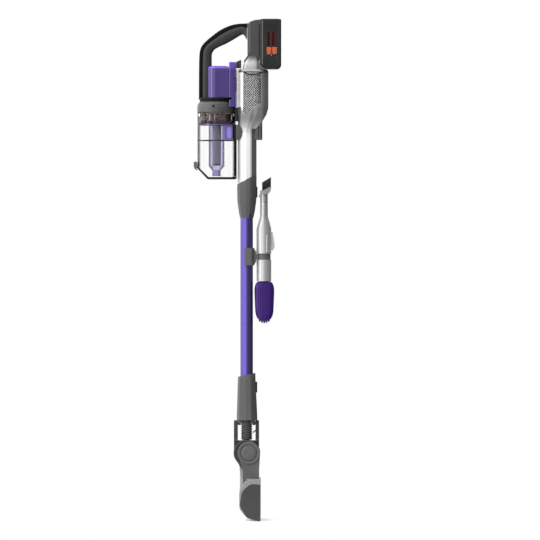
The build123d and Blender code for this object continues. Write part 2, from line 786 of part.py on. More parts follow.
yoke_front = -8.6
yoke_back = 51.8
barrel_y = 21.6
with BuildPart() as yoke:
    add(block(-24, 24, yoke_front, yoke_back, 166, 190))
    fillet(yoke.edges().filter_by(Axis.Z), 4)
    for y0, y1 in ((yoke_front, 0.8), (43.2, yoke_back)):
        with BuildSketch(Plane.XZ.offset(-y1)):
            with BuildLine():
                Polyline(
                    (-6.6, steer_z), (6.6, steer_z), (11, 212), (15, 196), (24, 186), (-24, 186),
                    (-15, 196), (-11, 212), close=True,
                )
            make_face()
            with Locations((0, steer_z)):
                Circle(6.6)
        extrude(amount=y1 - y0)
    add(axle(31, barrel_y, tilt_z, -33, 33))
    add(axle(28, barrel_y, tilt_z, -30, 30), mode=Mode.SUBTRACT)
    add(post(hose_r - 2.4, wand_y, 150, 220), mode=Mode.SUBTRACT)
    add(block(-20, 20, 2, 36, 120, 150), mode=Mode.SUBTRACT)
    add(bolt(2.55, 0, steer_z, -20, 80), mode=Mode.SUBTRACT)
    add(axle(6.05, tilt_y, tilt_z, -40, 40), mode=Mode.SUBTRACT)
save(yoke.part, "yoke")

# ---------------------------------------------------------------- floor head
def head_profile(inset, half_width):
    """The head's D-shaped section from end to end, made smaller by inset."""
    with BuildSketch() as outline:
        with BuildLine():
            FilletPolyline(
                (sole_y, 97.5 - inset),
                (22 + 0.5 * inset, 98.5 - inset),
                (4.6 + inset, 74 - 0.3 * inset),
                (4.6 + inset, 30 + 0.35 * inset),
                (22 + 0.6 * inset, 8 + 0.87 * inset),
                (49 + 0.15 * inset, inset),
                (sole_y, inset),
                radius=[16 - inset, 26 - inset, 24 - inset, 16 - inset, 6 - inset],
            )
            Line((sole_y, inset), (sole_y, 97.5 - inset))
        make_face()
    return bar(outline.sketch, half_width)


sole_top = 46.0  # the head's two shells meet here
head_top = 98.0  # over the base, under the cheeks' rear edges
mouth = block(-114, 114, 40, 70, 6, 60)
cheek_in = 34.0
cheek_out = 43.0
with BuildPart() as head_shell:
    add(head_profile(0, head_half))
    for side in (-1, 1):
        x0, x1 = sorted((side * cheek_in, side * cheek_out))
        with BuildPart():
            add(slab([(14, 84), (52, 84), (52, 120), (54.2, 156), (0.8, 156), (12, 124)], cheek_out))
            add(axle(27, tilt_y, tilt_z, -cheek_out, cheek_out))
            add(block(x0, x1, -60, 120, 0, 300), mode=Mode.INTERSECT)
    add(head_profile(2.5, head_half + 1), mode=Mode.SUBTRACT)
    add(block(-200, 200, sole_top, 90, -10, head_top), mode=Mode.SUBTRACT)
    add(block(-21, 21, -5, 28, 64, 100), mode=Mode.SUBTRACT)
    add(axle(6, tilt_y, tilt_z, -60, 60), mode=Mode.SUBTRACT)
save(head_shell.part, "head_shell")

wheel_x = 98.0
wheel_y = 47.4
wheel_z = 84.0
wheel_r = 7.6
with BuildPart() as head_base:
    add(head_profile(0, head_half))
    add(block(-200, 200, -20, sole_top, -10, 110), mode=Mode.SUBTRACT)
    with BuildPart(mode=Mode.SUBTRACT):
        add(head_profile(2.5, head_half + 1))
        add(block(-200, 200, -20, sole_y - 3, -10, 110), mode=Mode.INTERSECT)
    add(mouth, mode=Mode.SUBTRACT)
    for x in (-wheel_x, wheel_x):
        add(block(x - 8, x + 8, 40, 70, wheel_z - 9.5, wheel_z + 9.5), mode=Mode.SUBTRACT)
        for rib_x in (x - 9.6, x + 8):
            add(block(rib_x, rib_x + 1.6, 44.2, sole_y - 1, wheel_z - 5, wheel_z + 5))
        add(axle(1.55, wheel_y, wheel_z, x - 10, x + 10), mode=Mode.SUBTRACT)
save(head_base.part, "head_base")

for side, name in ((-1, "wheel_left"), (1, "wheel_right")):
    with BuildPart() as wheel:
        add(axle(wheel_r, wheel_y, wheel_z, side * wheel_x - 5, side * wheel_x + 5))
        fillet(wheel.edges(), 1.2)
        add(axle(1.5, wheel_y, wheel_z, side * wheel_x - 9.2, side * wheel_x + 9.2))
    save(wheel.part, name)

with BuildPart() as head_duct:
    duct_points = [(0.7, 124), (32, 124), (32, 84), (10, 84), (6.8, 68), (6.8, 62), (4.3, 58), (3.2, 58)]
    add(slab(duct_points, 23.8))
    add(head_profile(0, head_half), mode=Mode.SUBTRACT)
    add(slab([(4.5, 130), (29, 130), (29, 60), (10, 60)], 21), mode=Mode.SUBTRACT)
    add(axle(42.5, tilt_y, tilt_z, -60, 60), mode=Mode.SUBTRACT)
save(head_duct.part, "head_duct")

with BuildPart() as end_caps:
    for side in (-1, 1):
        with BuildPart():
            add(head_profile(0, 132))
            x0, x1 = sorted((side * head_half, side * 132))
            add(block(x0, x1, -20, 70, -10, 110), mode=Mode.INTERSECT)
    outer = end_caps.faces().filter_by(Axis.X)
    fillet([edge for face in (outer.sort_by(Axis.X)[0], outer.sort_by(Axis.X)[-1]) for edge in face.edges()], 2.5)
    add(axle(3.0, roll_y, roll_z, 121, 127))
    add(axle(3.0, roll_y, roll_z, -127, -121))
save(end_caps.part, "end_caps")

with BuildPart() as pivot_caps:
    for side in (-1, 1):
        for radius, low, high in ((27, 43.0, 45.6), (18, 45.6, 47.0), (6, 27.0, 43.0)):
            x0, x1 = sorted((side * low, side * high))
            add(axle(radius, tilt_y, tilt_z, x0, x1))
save(pivot_caps.part, "pivot_caps")

with BuildPart() as drive_motor:
    add(axle(10.5, 28, 80, 30, 88))
    add(axle(2.5, 28, 80, 88, 112))
save(drive_motor.part, "drive_motor")

with BuildPart() as roll_core:
    add(axle(15.5, roll_y, roll_z, -113, 113))
    add(axle(12, roll_y, roll_z, 113, 120))
    add(axle(3.05, roll_y, roll_z, -121, 121), mode=Mode.SUBTRACT)
save(roll_core.part, "roll_core")

with BuildPart() as roll_bristles:
    add(axle(roll_r, roll_y, roll_z, -112, 112))
    add(axle(15.5, roll_y, roll_z, -113, 113), mode=Mode.SUBTRACT)
save(roll_bristles.part, "roll_bristles")
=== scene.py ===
"""Looks for the cordless stick vacuum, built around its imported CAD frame.

Everything is in the CAD's own frame: +Z up, -Y the dust bin's side, +Y the battery's side. Sizes in the calls
below are in millimetres and become metres in one place, MM.
"""

import json
import random
from math import copysign, cos, hypot, inf, pi, radians, sin, sqrt, tan

import bmesh
import bpy
import numpy as np
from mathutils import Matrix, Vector
from mathutils.bvhtree import BVHTree


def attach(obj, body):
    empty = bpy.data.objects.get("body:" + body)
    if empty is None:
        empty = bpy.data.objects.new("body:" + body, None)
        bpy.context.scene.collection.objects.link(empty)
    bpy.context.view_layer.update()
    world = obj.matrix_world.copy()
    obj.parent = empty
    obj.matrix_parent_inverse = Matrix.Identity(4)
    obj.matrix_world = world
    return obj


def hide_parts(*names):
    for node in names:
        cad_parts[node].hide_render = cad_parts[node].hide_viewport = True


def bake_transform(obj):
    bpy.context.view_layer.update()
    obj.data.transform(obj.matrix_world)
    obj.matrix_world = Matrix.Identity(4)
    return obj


MM = 0.001
SIDES = ((-1, "left"), (1, "right"))
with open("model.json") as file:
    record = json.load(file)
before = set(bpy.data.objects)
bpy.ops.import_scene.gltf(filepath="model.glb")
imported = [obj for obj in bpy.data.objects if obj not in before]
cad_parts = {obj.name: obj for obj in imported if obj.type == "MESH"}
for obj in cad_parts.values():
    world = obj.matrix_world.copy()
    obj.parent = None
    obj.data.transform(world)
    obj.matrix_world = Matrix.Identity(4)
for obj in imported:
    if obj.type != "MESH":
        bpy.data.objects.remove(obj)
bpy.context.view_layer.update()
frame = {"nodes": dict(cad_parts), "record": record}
nodes = frame["nodes"]
SLOT_OF = {part["node"]: part["material_slot"] for part in frame["record"]["subparts"]}
random.seed(7)


# ---------------------------------------------------------------- camera, world and lights
AIM = Vector((0.0, 0.078, 0.599))
VIEW_WIDTH = 1.296  # metres across the picture at the wand
LENS = 500.0
SENSOR = 36.0
WORLD_STRENGTH = 1.9
# The world's grey, as (share of the way, level) stops from front to back and from below to above.
WORLD_ACROSS = ((0.0, 1.0), (0.25, 0.8), (0.42, 0.34), (0.55, 0.2), (0.68, 0.07), (1.0, 0.04))
WORLD_UPWARD = ((0.0, 0.02), (0.5, 0.05), (0.75, 0.25), (0.9, 0.8), (1.0, 1.0))


def make_camera():
    """A camera that looks along -X at the middle of the vacuum, as the photo does."""
    data = bpy.data.cameras.new("camera")
    data.lens = LENS
    data.sensor_width = SENSOR
    distance = VIEW_WIDTH * LENS / SENSOR
    data.clip_end = distance * 4
    camera = bpy.data.objects.new("camera", data)
    camera.location = AIM + Vector((distance, 0, 0))
    camera.rotation_euler = (radians(90), 0, radians(90))
    bpy.context.scene.collection.objects.link(camera)
    bpy.context.scene.camera = camera


def feed(tree, node, sockets):
    """Sets each socket of a node to a value, or links it to another node's output."""
    for socket, value in sockets.items():
        if isinstance(value, bpy.types.NodeSocket):
            tree.links.new(value, node.inputs[socket])
        else:
            node.inputs[socket].default_value = value


def add(tree, kind, sockets=(), **settings):
    """A new node with its settings and sockets."""
    node = tree.nodes.new("ShaderNode" + kind)
    for setting, value in settings.items():
        setattr(node, setting, value)
    feed(tree, node, dict(sockets))
    return node


def remap(tree, value, start=0.0, end=1.0, low=0.0, high=1.0, kind="LINEAR"):
    """A value's range from start to end turned into low to high."""
    limits = {"From Min": start, "From Max": end, "To Min": low, "To Max": high}
    return add(tree, "MapRange", {"Value": value, **limits}, interpolation_type=kind).outputs[0]


def mix_colours(tree, factor, first, second, blend="MIX"):
    """The colour socket of first mixed into second."""
    sockets = {"Factor": factor, "A": first, "B": second}
    return add(tree, "Mix", sockets, data_type="RGBA", blend_type=blend).outputs["Result"]


def grey_ramp(tree, value, stops):
    """A grey ramp through (position, level) stops."""
    node = add(tree, "ValToRGB", {"Fac": value})
    elements = node.color_ramp.elements
    elements[0].position, elements[1].position = stops[0][0], stops[-1][0]
    elements[0].color, elements[1].color = (*[stops[0][1]] * 3, 1), (*[stops[-1][1]] * 3, 1)
    for position, level in stops[1:-1]:
        elements.new(position).color = (level, level, level, 1)
    return node.outputs["Color"]


def make_world():
    """White behind everything; the light is strong from the front and above and weak from the back."""
    world = bpy.data.worlds.new("studio")
    bpy.context.scene.world = world
    world.use_nodes = True
    tree = world.node_tree
    tree.nodes.clear()
    split = add(tree, "SeparateXYZ", {0: add(tree, "TexCoord").outputs["Generated"]})
    across, upward = [
        grey_ramp(tree, remap(tree, split.outputs[axis], start=-1.0), stops)
        for axis, stops in (("Y", WORLD_ACROSS), ("Z", WORLD_UPWARD))
    ]
    colour = mix_colours(tree, 1.0, across, upward, "ADD")
    light = add(tree, "Background", {"Color": colour, "Strength": WORLD_STRENGTH})
    white = add(tree, "Background", {"Color": (1, 1, 1, 1)})
    path = add(tree, "LightPath").outputs
    rays = {0: path["Is Camera Ray"], 1: path["Is Transmission Ray"]}
    seen = add(tree, "Math", rays, operation="MAXIMUM")
    mix = add(tree, "MixShader", {"Fac": seen.outputs[0], 1: light.outputs[0], 2: white.outputs[0]})
    add(tree, "OutputWorld", {"Surface": mix.outputs[0]})


def area_light(name, place, aim, width, height, watts):
    """A soft rectangular light, turned to face aim, in metres."""
    data = bpy.data.lights.new(name, "AREA")
    data.shape = "RECTANGLE"
    data.size, data.size_y = width, height
    data.energy = watts
    light = bpy.data.objects.new(name, data)
    light.location = place
    light.rotation_euler = (Vector(aim) - Vector(place)).to_track_quat("-Z", "Y").to_euler()
    bpy.context.scene.collection.objects.link(light)


def make_lights():
    """A key light in front, one from above and one from the side."""
    area_light("key", (1.4, -2.4, 1.3), (0, 0, 0.65), 0.9, 1.8, 26)
    area_light("top", (0.5, -0.6, 2.9), (0, 0, 0.9), 1.2, 1.0, 18)
    area_light("side", (3.2, -0.9, 0.8), (0, 0, 0.6), 0.7, 2.0, 12)


FLOOR_RADIUS = 0.42


FINISH = {}  # each material by the name it is made under


def new_material(name, sockets):
    """A material with its shader's own sockets set, its node tree and its shader."""
    material = FINISH[name] = bpy.data.materials.new(name)
    material.use_nodes = True
    tree = material.node_tree
    shader = tree.nodes["Principled BSDF"]
    feed(tree, shader, sockets)
    return material, tree, shader


def make_floor():
    """A pale floor that fades into the white around it."""
    place = (0, 0.02, -0.0005)
    bpy.ops.mesh.primitive_circle_add(vertices=96, radius=FLOOR_RADIUS, fill_type="NGON", location=place)
    floor = bpy.context.object
    floor.name = "floor"
    material, tree, shader = new_material("floor", {"Base Color": (0.93, 0.93, 0.93, 1), "Roughness": 0.8})
    point = add(tree, "TexCoord").outputs["Object"]
    scale = add(tree, "Mapping", {"Vector": point, "Scale": [1 / FLOOR_RADIUS] * 3})
    gradient = add(tree, "TexGradient", {"Vector": scale.outputs[0]}, gradient_type="SPHERICAL")
    fade = remap(tree, gradient.outputs["Fac"], 0.05)
    glow = add(tree, "Emission")
    mix = add(tree, "MixShader", {"Fac": fade, 1: glow.outputs[0], 2: shader.outputs[0]})
    feed(tree, tree.nodes["Material Output"], {"Surface": mix.outputs[0]})
    floor.data.materials.append(material)


# ---------------------------------------------------------------- materials
VARIATION = 0.07  # how far a colour strays from its base


def shade(colour, gain, lift=0.0):
    """A colour made lighter or darker, as red, green, blue and alpha."""
    return (*[min(1.0, c * gain + lift) for c in colour], 1)


def surface(
    name, colour, roughness, metallic=0.0, coat=0.0, sheen=0.0, grain=0.25, grain_size=0.5, rounding=0.5,
    shine=0.35, painted_shading=(),
):
    """A moulded, painted or woven surface of a colour or a level of grey: colour and roughness vary together,
    with a fine grain of grain_size mm in the bump, worn lighter edges, and edges rounded by rounding mm. Each
    shading entry is (axis, from, to, gain): between those positions in mm the colour is multiplied by up to
    gain, which paints light or shade into the colour."""
    if isinstance(colour, float):
        colour = (colour, colour, colour)
    uniform = {"Metallic": metallic, "Coat Weight": coat, "Coat Roughness": 0.12, "Sheen Weight": sheen}
    material, tree, shader = new_material(name, {**uniform, "Specular IOR Level": shine})
    point = add(tree, "TexCoord").outputs["Object"]
    patches = add(tree, "TexNoise", {"Vector": point, "Scale": 38.0, "Detail": 5.0}).outputs["Fac"]
    base = mix_colours(tree, patches, shade(colour, 1 - VARIATION), shade(colour, 1 + VARIATION))
    split = add(tree, "SeparateXYZ", {0: point})
    # painted light and shade: the colour made lighter or darker along an axis, as the light falls on it
    for axis, start, end, gain in painted_shading:
        painted_gain = remap(tree, split.outputs[axis], start * MM, end * MM, 1.0, gain, "SMOOTHSTEP")
        base = add(tree, "VectorMath", {0: base, "Scale": painted_gain}, operation="SCALE").outputs[0]
    wear = remap(tree, add(tree, "NewGeometry").outputs["Pointiness"], 0.53, 0.62, high=0.22)
    smudge = remap(tree, patches, low=roughness * 0.85, high=min(1.0, roughness * 1.18))
    fine = add(tree, "TexNoise", {"Vector": point, "Scale": 1.0 / (grain_size * MM), "Detail": 2.0})
    edge = add(tree, "Bevel", {"Radius": rounding * MM}, samples=3)
    heights = {"Height": fine.outputs["Fac"], "Strength": grain, "Distance": 0.1 * MM}
    bump = add(tree, "Bump", {**heights, "Normal": edge.outputs[0]})
    worn = mix_colours(tree, wear, base, shade(colour, 1.25, 0.03))
    feed(tree, shader, {"Base Color": worn, "Roughness": smudge, "Normal": bump.outputs[0]})
    return material


def clear(name, tint, edge_tint, roughness=0.02, ior=1.12, edge_from=0.45, edge_to=1.0):
    """Clear moulded plastic, which darkens where it is seen edge-on."""
    uniform = {"Transmission Weight": 1.0, "Roughness": roughness, "IOR": ior}
    material, tree, shader = new_material(name, uniform)
    facing = add(tree, "LayerWeight", {"Blend": 0.5}).outputs["Facing"]
    share = remap(tree, facing, edge_from, edge_to)
    feed(tree, shader, {"Base Color": mix_colours(tree, share, (*tint, 1), (*edge_tint, 1))})
    return material


# What every silver part's surface has.
SILVER = {"metallic": 0.35, "coat": 0.3, "grain": 0.08, "grain_size": 0.3, "shine": 0.5}
surface("silver_plastic", 0.36, 0.36, rounding=0.9, **SILVER)
surface("grey_plastic", 0.085, 0.5, grain=0.35, grain_size=0.45, rounding=1.0, shine=0.25)
surface("dark_plastic", (0.0095, 0.011, 0.0105), 0.42, grain=0.3, rounding=1.4, shine=0.2)
# The purple is up to 2.6 times lighter from Z 1077 to 1086: a painted highlight on the filter cover's top.
surface("purple_plastic", (0.034, 0.017, 0.125), 0.30, 0.1, coat=0.35, grain=0.1, rounding=1.2, shine=0.3,
        painted_shading=[("Z", 1077, 1086, 2.6)])
# The wand's purple is painted shade: darker towards its back, from Y 22.2 to 25, and towards its front edge,
# from Y 12.5 to 9.5.
surface("purple_metal", (0.105, 0.072, 0.36), 0.32, 0.5, coat=0.1, grain=0.08, shine=0.3,
        painted_shading=[("Y", 22.2, 25.0, 0.05), ("Y", 12.5, 9.5, 0.36)])
surface("grip_rubber", 0.002, 0.6, grain=0.6, grain_size=0.8, shine=0.03)
surface("seal_rubber", 0.07, 0.6, grain=0.3, shine=0.1)
clear("clear_bin", (0.97, 0.97, 0.965), (0.02, 0.02, 0.024), edge_from=0.45, edge_to=0.66)
clear("clear_tube", (0.73, 0.71, 0.84), (0.06, 0.045, 0.15), 0.06, 1.15, 0.28, 0.7)
surface("orange_plastic", (0.075, 0.016, 0.010), 0.2, coat=0.9, grain=0.03, shine=0.6)
surface("orange_button", (0.40, 0.075, 0.024), 0.4, grain=0.15)
surface("steel_mesh", 0.62, 0.4, 0.4, grain=0.1)
surface("filter_white", 0.78, 0.9, sheen=0.3, grain=0.8, grain_size=0.3)
surface("pale_plastic", 0.42, 0.38, grain=0.15)
surface("bristle_black", 0.022, 0.55, sheen=0.1, grain=0.2, shine=0.15)
surface("roll_pile", (0.10, 0.035, 0.22), 0.75, sheen=0.5, grain=0.5)
surface("board_green", (0.01, 0.10, 0.04), 0.4)
surface("motor_metal", 0.5, 0.32, 0.9)
surface("screw_steel", 0.45, 0.3, 1.0)
surface("cell_wrap", (0.02, 0.08, 0.3), 0.3, coat=0.5)
surface("pad_rubber", (0.035, 0.018, 0.07), 0.6, grain=0.4)
surface("tyre_rubber", 0.02, 0.65, grain=0.5)
surface("duct_clear", 0.30, 0.3, coat=0.4, grain=0.08, shine=0.5)
# The dome's silver is painted light and shade: up to six times lighter towards its bottom, from Z 1113 to
# 1094, and darker towards its back, from Y 38 to 52.
DOME_SILVER = surface(
    "dome_silver", 0.055, 0.38, rounding=0.8, **SILVER,
    painted_shading=[("Z", 1113, 1094, 6.0), ("Y", 38, 52, 0.55)],
)
# A darker copy of the silver for the heel at the body's back: painted shade.
HEEL_SHADED_SILVER = surface("dome_heel", 0.10, 0.4, rounding=0.8, **SILVER)
# A near white copy of the silver, a painted highlight: for the lit front bevels, the filler by the spine, the
# grille's front edges and the glints on the bin.
SILVER_HIGHLIGHT = surface("silver_painted_highlight", 0.80, 0.40, rounding=0.8, **SILVER)
VEIL = clear("bin_veil", (0.80, 0.78, 0.79), (0.06, 0.055, 0.06), 0.05, 1.1, 0.35, 0.8)
CORE_GREY = surface("core_grey", 0.50, 0.5)
# A bright lilac that is a painted glow: the light seen at the base of the bin.
STUB_GLOW_LILAC = surface("stub_painted_glow", (0.66, 0.56, 1.0), 0.4)
# A bright lilac darkened towards both ends, from Y -22 to -27 and from Y -16 to -12: a painted highlight in
# the chute's middle and painted shade at its ends.
CHUTE_LIT = surface(
    "chute_painted_highlight", (0.27, 0.22, 0.72), 0.3, coat=0.3, grain=0.05,
    painted_shading=[("Y", -22, -27, 0.25), ("Y", -16, -12, 0.3)],
)
# Near black that stands for the shade inside the grille's holes and the battery's slots: painted shade.
HOLE_SHADE = surface("hole_shade", 0.002, 0.8, grain=0.1, shine=0.05)
SLOT_RED = surface("slot_red", (0.16, 0.008, 0.005), 0.5, shine=0.1)
# Near black for seams and joints, and also painted shade where it fills gaps between parts.
SEAM_AND_GAP_SHADE = surface("seam_and_gap_shade", 0.008, 0.6, shine=0.1)
# The body's silver is painted light and shade: up to 3.6 times lighter towards the nose's bottom, from Z 966
# to 914, up to 1.5 times lighter from Y 34 to 46, darker again towards its back from Y 54 to 67, and darker at
# its front from Y 12 to 6.
BODY_SILVER = surface(
    "body_silver", 0.25, 0.36, rounding=1.2, **SILVER,
    painted_shading=[("Z", 966, 914, 3.6), ("Y", 34, 46, 1.5), ("Y", 54, 67, 0.36), ("Y", 12, 6, 0.45)],
)
# The grille's silver is darker towards its back, from Y 40 to 58: painted shade.
GRILLE_SILVER = surface("grille_silver", 0.75, 0.34, rounding=0.3, painted_shading=[("Y", 40, 58, 0.4)], **SILVER)
COLUMN_GREY = surface("column_grey", 0.030, 0.42, grain=0.3, rounding=2.0, shine=0.4)
COLLAR_GREY = surface("collar_grey", (0.062, 0.058, 0.056), 0.45, grain=0.3, rounding=1.0, shine=0.3)
HANDLE_GREY = surface("handle_grey", (0.034, 0.034, 0.032), 0.5, grain=0.35, rounding=0.8, shine=0.2)
# The collars' grey is darker towards their back, from Y 30 to 40: painted shade.
NECK_GREY = surface(
    "neck_grey", 0.085, 0.5, grain=0.5, grain_size=0.7, rounding=1.6, shine=0.25,
    painted_shading=[("Y", 30, 40, 0.6)],
)
YOKE_GREY = surface("yoke_grey", 0.022, 0.5, grain=0.35, rounding=1.2, shine=0.2)
CHUTE_PURPLE = surface("chute_purple", (0.17, 0.135, 0.44), 0.3, coat=0.4, grain=0.05)
HOOD_PURPLE = surface("hood_purple", (0.055, 0.036, 0.11), 0.3, coat=0.5, grain=0.05)
PET_PURPLE = surface("pet_purple", (0.024, 0.002, 0.105), 0.42, grain=0.2, rounding=0.3, shine=0.25)
SKIRT_GREY = surface("skirt_grey", 0.07, 0.5, grain=0.3, rounding=0.8, shine=0.2)
HEAD_RIM = surface("head_rim", 0.20, 0.38, grain=0.15, rounding=0.8)
BRUSH_SILVER = surface("brush_silver", 0.20, 0.4, rounding=0.6, **SILVER)
PANEL_DARK = surface("panel_dark", 0.042, 0.55, grain=0.7, grain_size=0.9, rounding=0.6, shine=0.2)
NODE_FINISH = {
    "body_shell_left": BODY_SILVER,
    "body_shell_right": BODY_SILVER,
    "column_housing": COLUMN_GREY,
    "yoke": YOKE_GREY,
    "inlet_chute": CHUTE_PURPLE,
    "cyclone_hood": HOOD_PURPLE,
    "mode_button": COLUMN_GREY,
    "bin_collar": COLLAR_GREY,
    "dusting_collar": BRUSH_SILVER,
    "wand_catch": YOKE_GREY,
    "neck_catch": YOKE_GREY,
    "neck_collar": NECK_GREY,
    "wand_collar": NECK_GREY,
    "bin_door": FINISH["clear_bin"],
}


def paint_cad_nodes():
    """Gives every CAD node its finish."""
    for name, obj in nodes.items():
        obj.data.materials.clear()
        obj.data.materials.append(NODE_FINISH.get(name, FINISH[SLOT_OF[name]]))


# ---------------------------------------------------------------- mesh helpers
def new_object(name, verts, faces, finishes, index=None, smooth=True):
    """A mesh from points in mm, which takes a slot's finish."""
    mesh = bpy.data.meshes.new(name)
    mesh.from_pydata([(x * MM, y * MM, z * MM) for x, y, z in verts], [], faces)
    for finish in finishes:
        mesh.materials.append(finish)
    if index is not None:
        mesh.polygons.foreach_set("material_index", index)
    mesh.polygons.foreach_set("use_smooth", [smooth] * len(mesh.polygons))
    mesh.update()
    obj = bpy.data.objects.new(name, mesh)
    bpy.context.scene.collection.objects.link(obj)
    return obj


def piece(name, verts, faces, body, slot, material=None, extra=(), index=None, smooth=True):
    """An object that rides on one body."""
    obj = new_object(name, verts, faces, [material or FINISH[slot], *extra], index, smooth)
    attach(obj, body)
    return obj


def crisp(obj, degrees=35):
    """Keeps edges sharper than that angle."""
    obj.data.set_sharp_from_angle(angle=radians(degrees))
    return obj


def rings_to_faces(count, size, closed=False, caps=True):
    """Quads between rings of size points each; the ends are capped unless the rings close on themselves."""
    faces = []
    for ring in range(count if closed else count - 1):
        following = (ring + 1) % count
        for k in range(size):
            after = (k + 1) % size
            low, high = ring * size, following * size
            faces.append((low + k, low + after, high + after, high + k))
    if caps and not closed:
        faces.append(tuple(reversed(range(size))))
        faces.append(tuple(range((count - 1) * size, count * size)))
    return faces


def lathe(name, profile, centre, body, slot, axis="Z", segments=64, **options):
    """A ring or disc turned about an axis through centre; the profile is (radius, along) points in a loop."""
    verts = []
    for step in range(segments):
        angle = 2 * pi * step / segments
        for radius, along in profile:
            a, b = radius * cos(angle), radius * sin(angle)
            if axis == "Z":
                verts.append((centre[0] + a, centre[1] + b, centre[2] + along))
            elif axis == "X":
                verts.append((centre[0] + along, centre[1] + a, centre[2] + b))
            else:
                verts.append((centre[0] + b, centre[1] + along, centre[2] + a))
    faces = rings_to_faces(segments, len(profile), closed=True)
    return crisp(piece(name, verts, faces, body, slot, **options))


def loft(name, levels, body, slot, **options):
    """A skin over (z, [(x, y), ...]) outlines that all have the same number of points."""
    verts = [(x, y, z) for z, outline in levels for x, y in outline]
    obj = piece(name, verts, rings_to_faces(len(levels), len(levels[0][1])), body, slot, **options)
    recalc(obj)
    return crisp(obj, 40)


def rounded_box(half, front, back, radius, steps=6):
    """A rounded rectangle seen from above, as (x, y) points."""
    points = []
    for cx, cy, start in (
        (half - radius, back - radius, 0),
        (radius - half, back - radius, 90),
        (radius - half, front + radius, 180),
        (half - radius, front + radius, 270),
    ):
        for k in range(steps + 1):
            angle = radians(start + 90 * k / steps)
            points.append((cx + radius * cos(angle), cy + radius * sin(angle)))
    return points


def rounded(corners, steps=6):
    """A closed outline through (a, b, radius) corners, each rounded off."""
    points = []
    for k, (a, b, radius) in enumerate(corners):
        here = Vector((a, b))
        before = (Vector(corners[k - 1][:2]) - here).normalized()
        after = (Vector(corners[(k + 1) % len(corners)][:2]) - here).normalized()
        if radius <= 0:
            points.append((a, b))
            continue
        half_angle = before.angle(after) / 2
        reach = radius / tan(half_angle)
        centre = here + (before + after).normalized() * (radius / sin(half_angle))
        first, last = here + before * reach - centre, here + after * reach - centre
        for step in range(steps + 1):
            t = step / steps
            arm = first.lerp(last, t).normalized() * radius
            points.append(tuple(centre + arm))
    return points


def spline_points(points, steps):
    """A smooth run through points of any dimension."""
    array = np.array(points, float)
    ext = np.vstack([2 * array[0] - array[1], array, 2 * array[-1] - array[-2]])
    out = []
    for i in range(1, len(ext) - 2):
        p0, p1, p2, p3 = ext[i - 1 : i + 3]
        for s in range(steps):
            t = s / steps
            slope, bend, twist = p2 - p0, 2 * p0 - 5 * p1 + 4 * p2 - p3, 3 * p1 - p0 - 3 * p2 + p3
            out.append(0.5 * (2 * p1 + slope * t + bend * t**2 + twist * t**3))
    out.append(ext[-2])
    return out


def needles(name, roots, tips, radius, body, slot, sides=3, material=None):
    """Many thin pointed filaments, from root to tip points."""
    verts, faces = [], []
    for root, tip in zip(roots, tips):
        root, tip = Vector(root), Vector(tip)
        along = (tip - root).normalized()
        side = along.orthogonal().normalized()
        other = along.cross(side)
        base = len(verts)
        turn = random.random() * 6.28
        for end, size in ((root, 1.0), (tip, 0.55)):
            for k in range(sides):
                angle = turn + 2 * pi * k / sides
                verts.append(end + (side * cos(angle) + other * sin(angle)) * radius * size)
        for k in range(sides):
            after = (k + 1) % sides
            faces.append((base + k, base + after, base + sides + after, base + sides + k))
        faces.append(tuple(base + sides + k for k in range(sides)))
        faces.append(tuple(base + k for k in reversed(range(sides))))
    return piece(name, [tuple(v) for v in verts], faces, body, slot, material=material)


BEAD = ((-0.5, -0.35), (-0.42, 0.55), (-0.18, 0.95), (0.18, 0.95), (0.42, 0.55), (0.5, -0.35))


def strip(name, path, normals, width, height, body, slot, material=None):
    """A half-round bead along points lying on a surface, with one normal for them all or one each."""
    verts = []
    count = len(path)
    if isinstance(normals, tuple):
        normals = [normals] * count
    for i, (point, normal) in enumerate(zip(path, normals)):
        point, normal = Vector(point), Vector(normal).normalized()
        ahead = (Vector(path[min(i + 1, count - 1)]) - Vector(path[max(i - 1, 0)])).normalized()
        side = ahead.cross(normal).normalized()
        for across, up in BEAD:
            verts.append(tuple(point + side * across * width + normal * up * height))
    return piece(name, verts, rings_to_faces(count, 6), body, slot, material=material)


def plate(name, outline, x0, x1, body, slot, bevel=0.8, material=None):
    """A side outline of (y, z) points made solid between two X planes, with its edges rounded."""
    x0, x1 = sorted((x0, x1))
    size = len(outline)
    verts = [(x0, y, z) for y, z in outline] + [(x1, y, z) for y, z in outline]
    faces = [(k, (k + 1) % size, size + (k + 1) % size, size + k) for k in range(size)]
    faces += [tuple(reversed(range(size))), tuple(range(size, 2 * size))]
    obj = piece(name, verts, faces, body, slot, material=material)
    recalc(obj)
    round_edges(obj, bevel)
    return obj


def recalc(obj):
    """Turns all faces outwards."""
    work = bmesh.new()
    work.from_mesh(obj.data)
    bmesh.ops.recalc_face_normals(work, faces=work.faces)
    work.to_mesh(obj.data)
    work.free()


def round_edges(obj, width):
    """Rounds the sharp edges by width mm."""
    bevel = obj.modifiers.new("rounding", "BEVEL")
    bevel.width = width * MM
    bevel.segments = 3
    bevel.limit_method = "ANGLE"
    bevel.angle_limit = radians(30)
    bevel.harden_normals = True


def cad_surface(*names):
    """A ray target made of CAD nodes at rest."""
    verts, faces = [], []
    for name in names:
        mesh = nodes[name].data
        base = len(verts)
        verts += [v.co.copy() for v in mesh.vertices]
        faces += [tuple(base + i for i in p.vertices) for p in mesh.polygons]
    return BVHTree.FromPolygons(verts, faces)


def on_side(target, y, z, side, inset=0.0):
    """Where a ray from the far side meets the target at (y, z), in mm, pushed inwards by inset."""
    hit, normal, _, _ = target.ray_cast(Vector((side * 0.2, y * MM, z * MM)), Vector((-side, 0, 0)))
    if hit is None:
        return None, None
    return hit / MM - Vector((side * inset, 0, 0)), normal


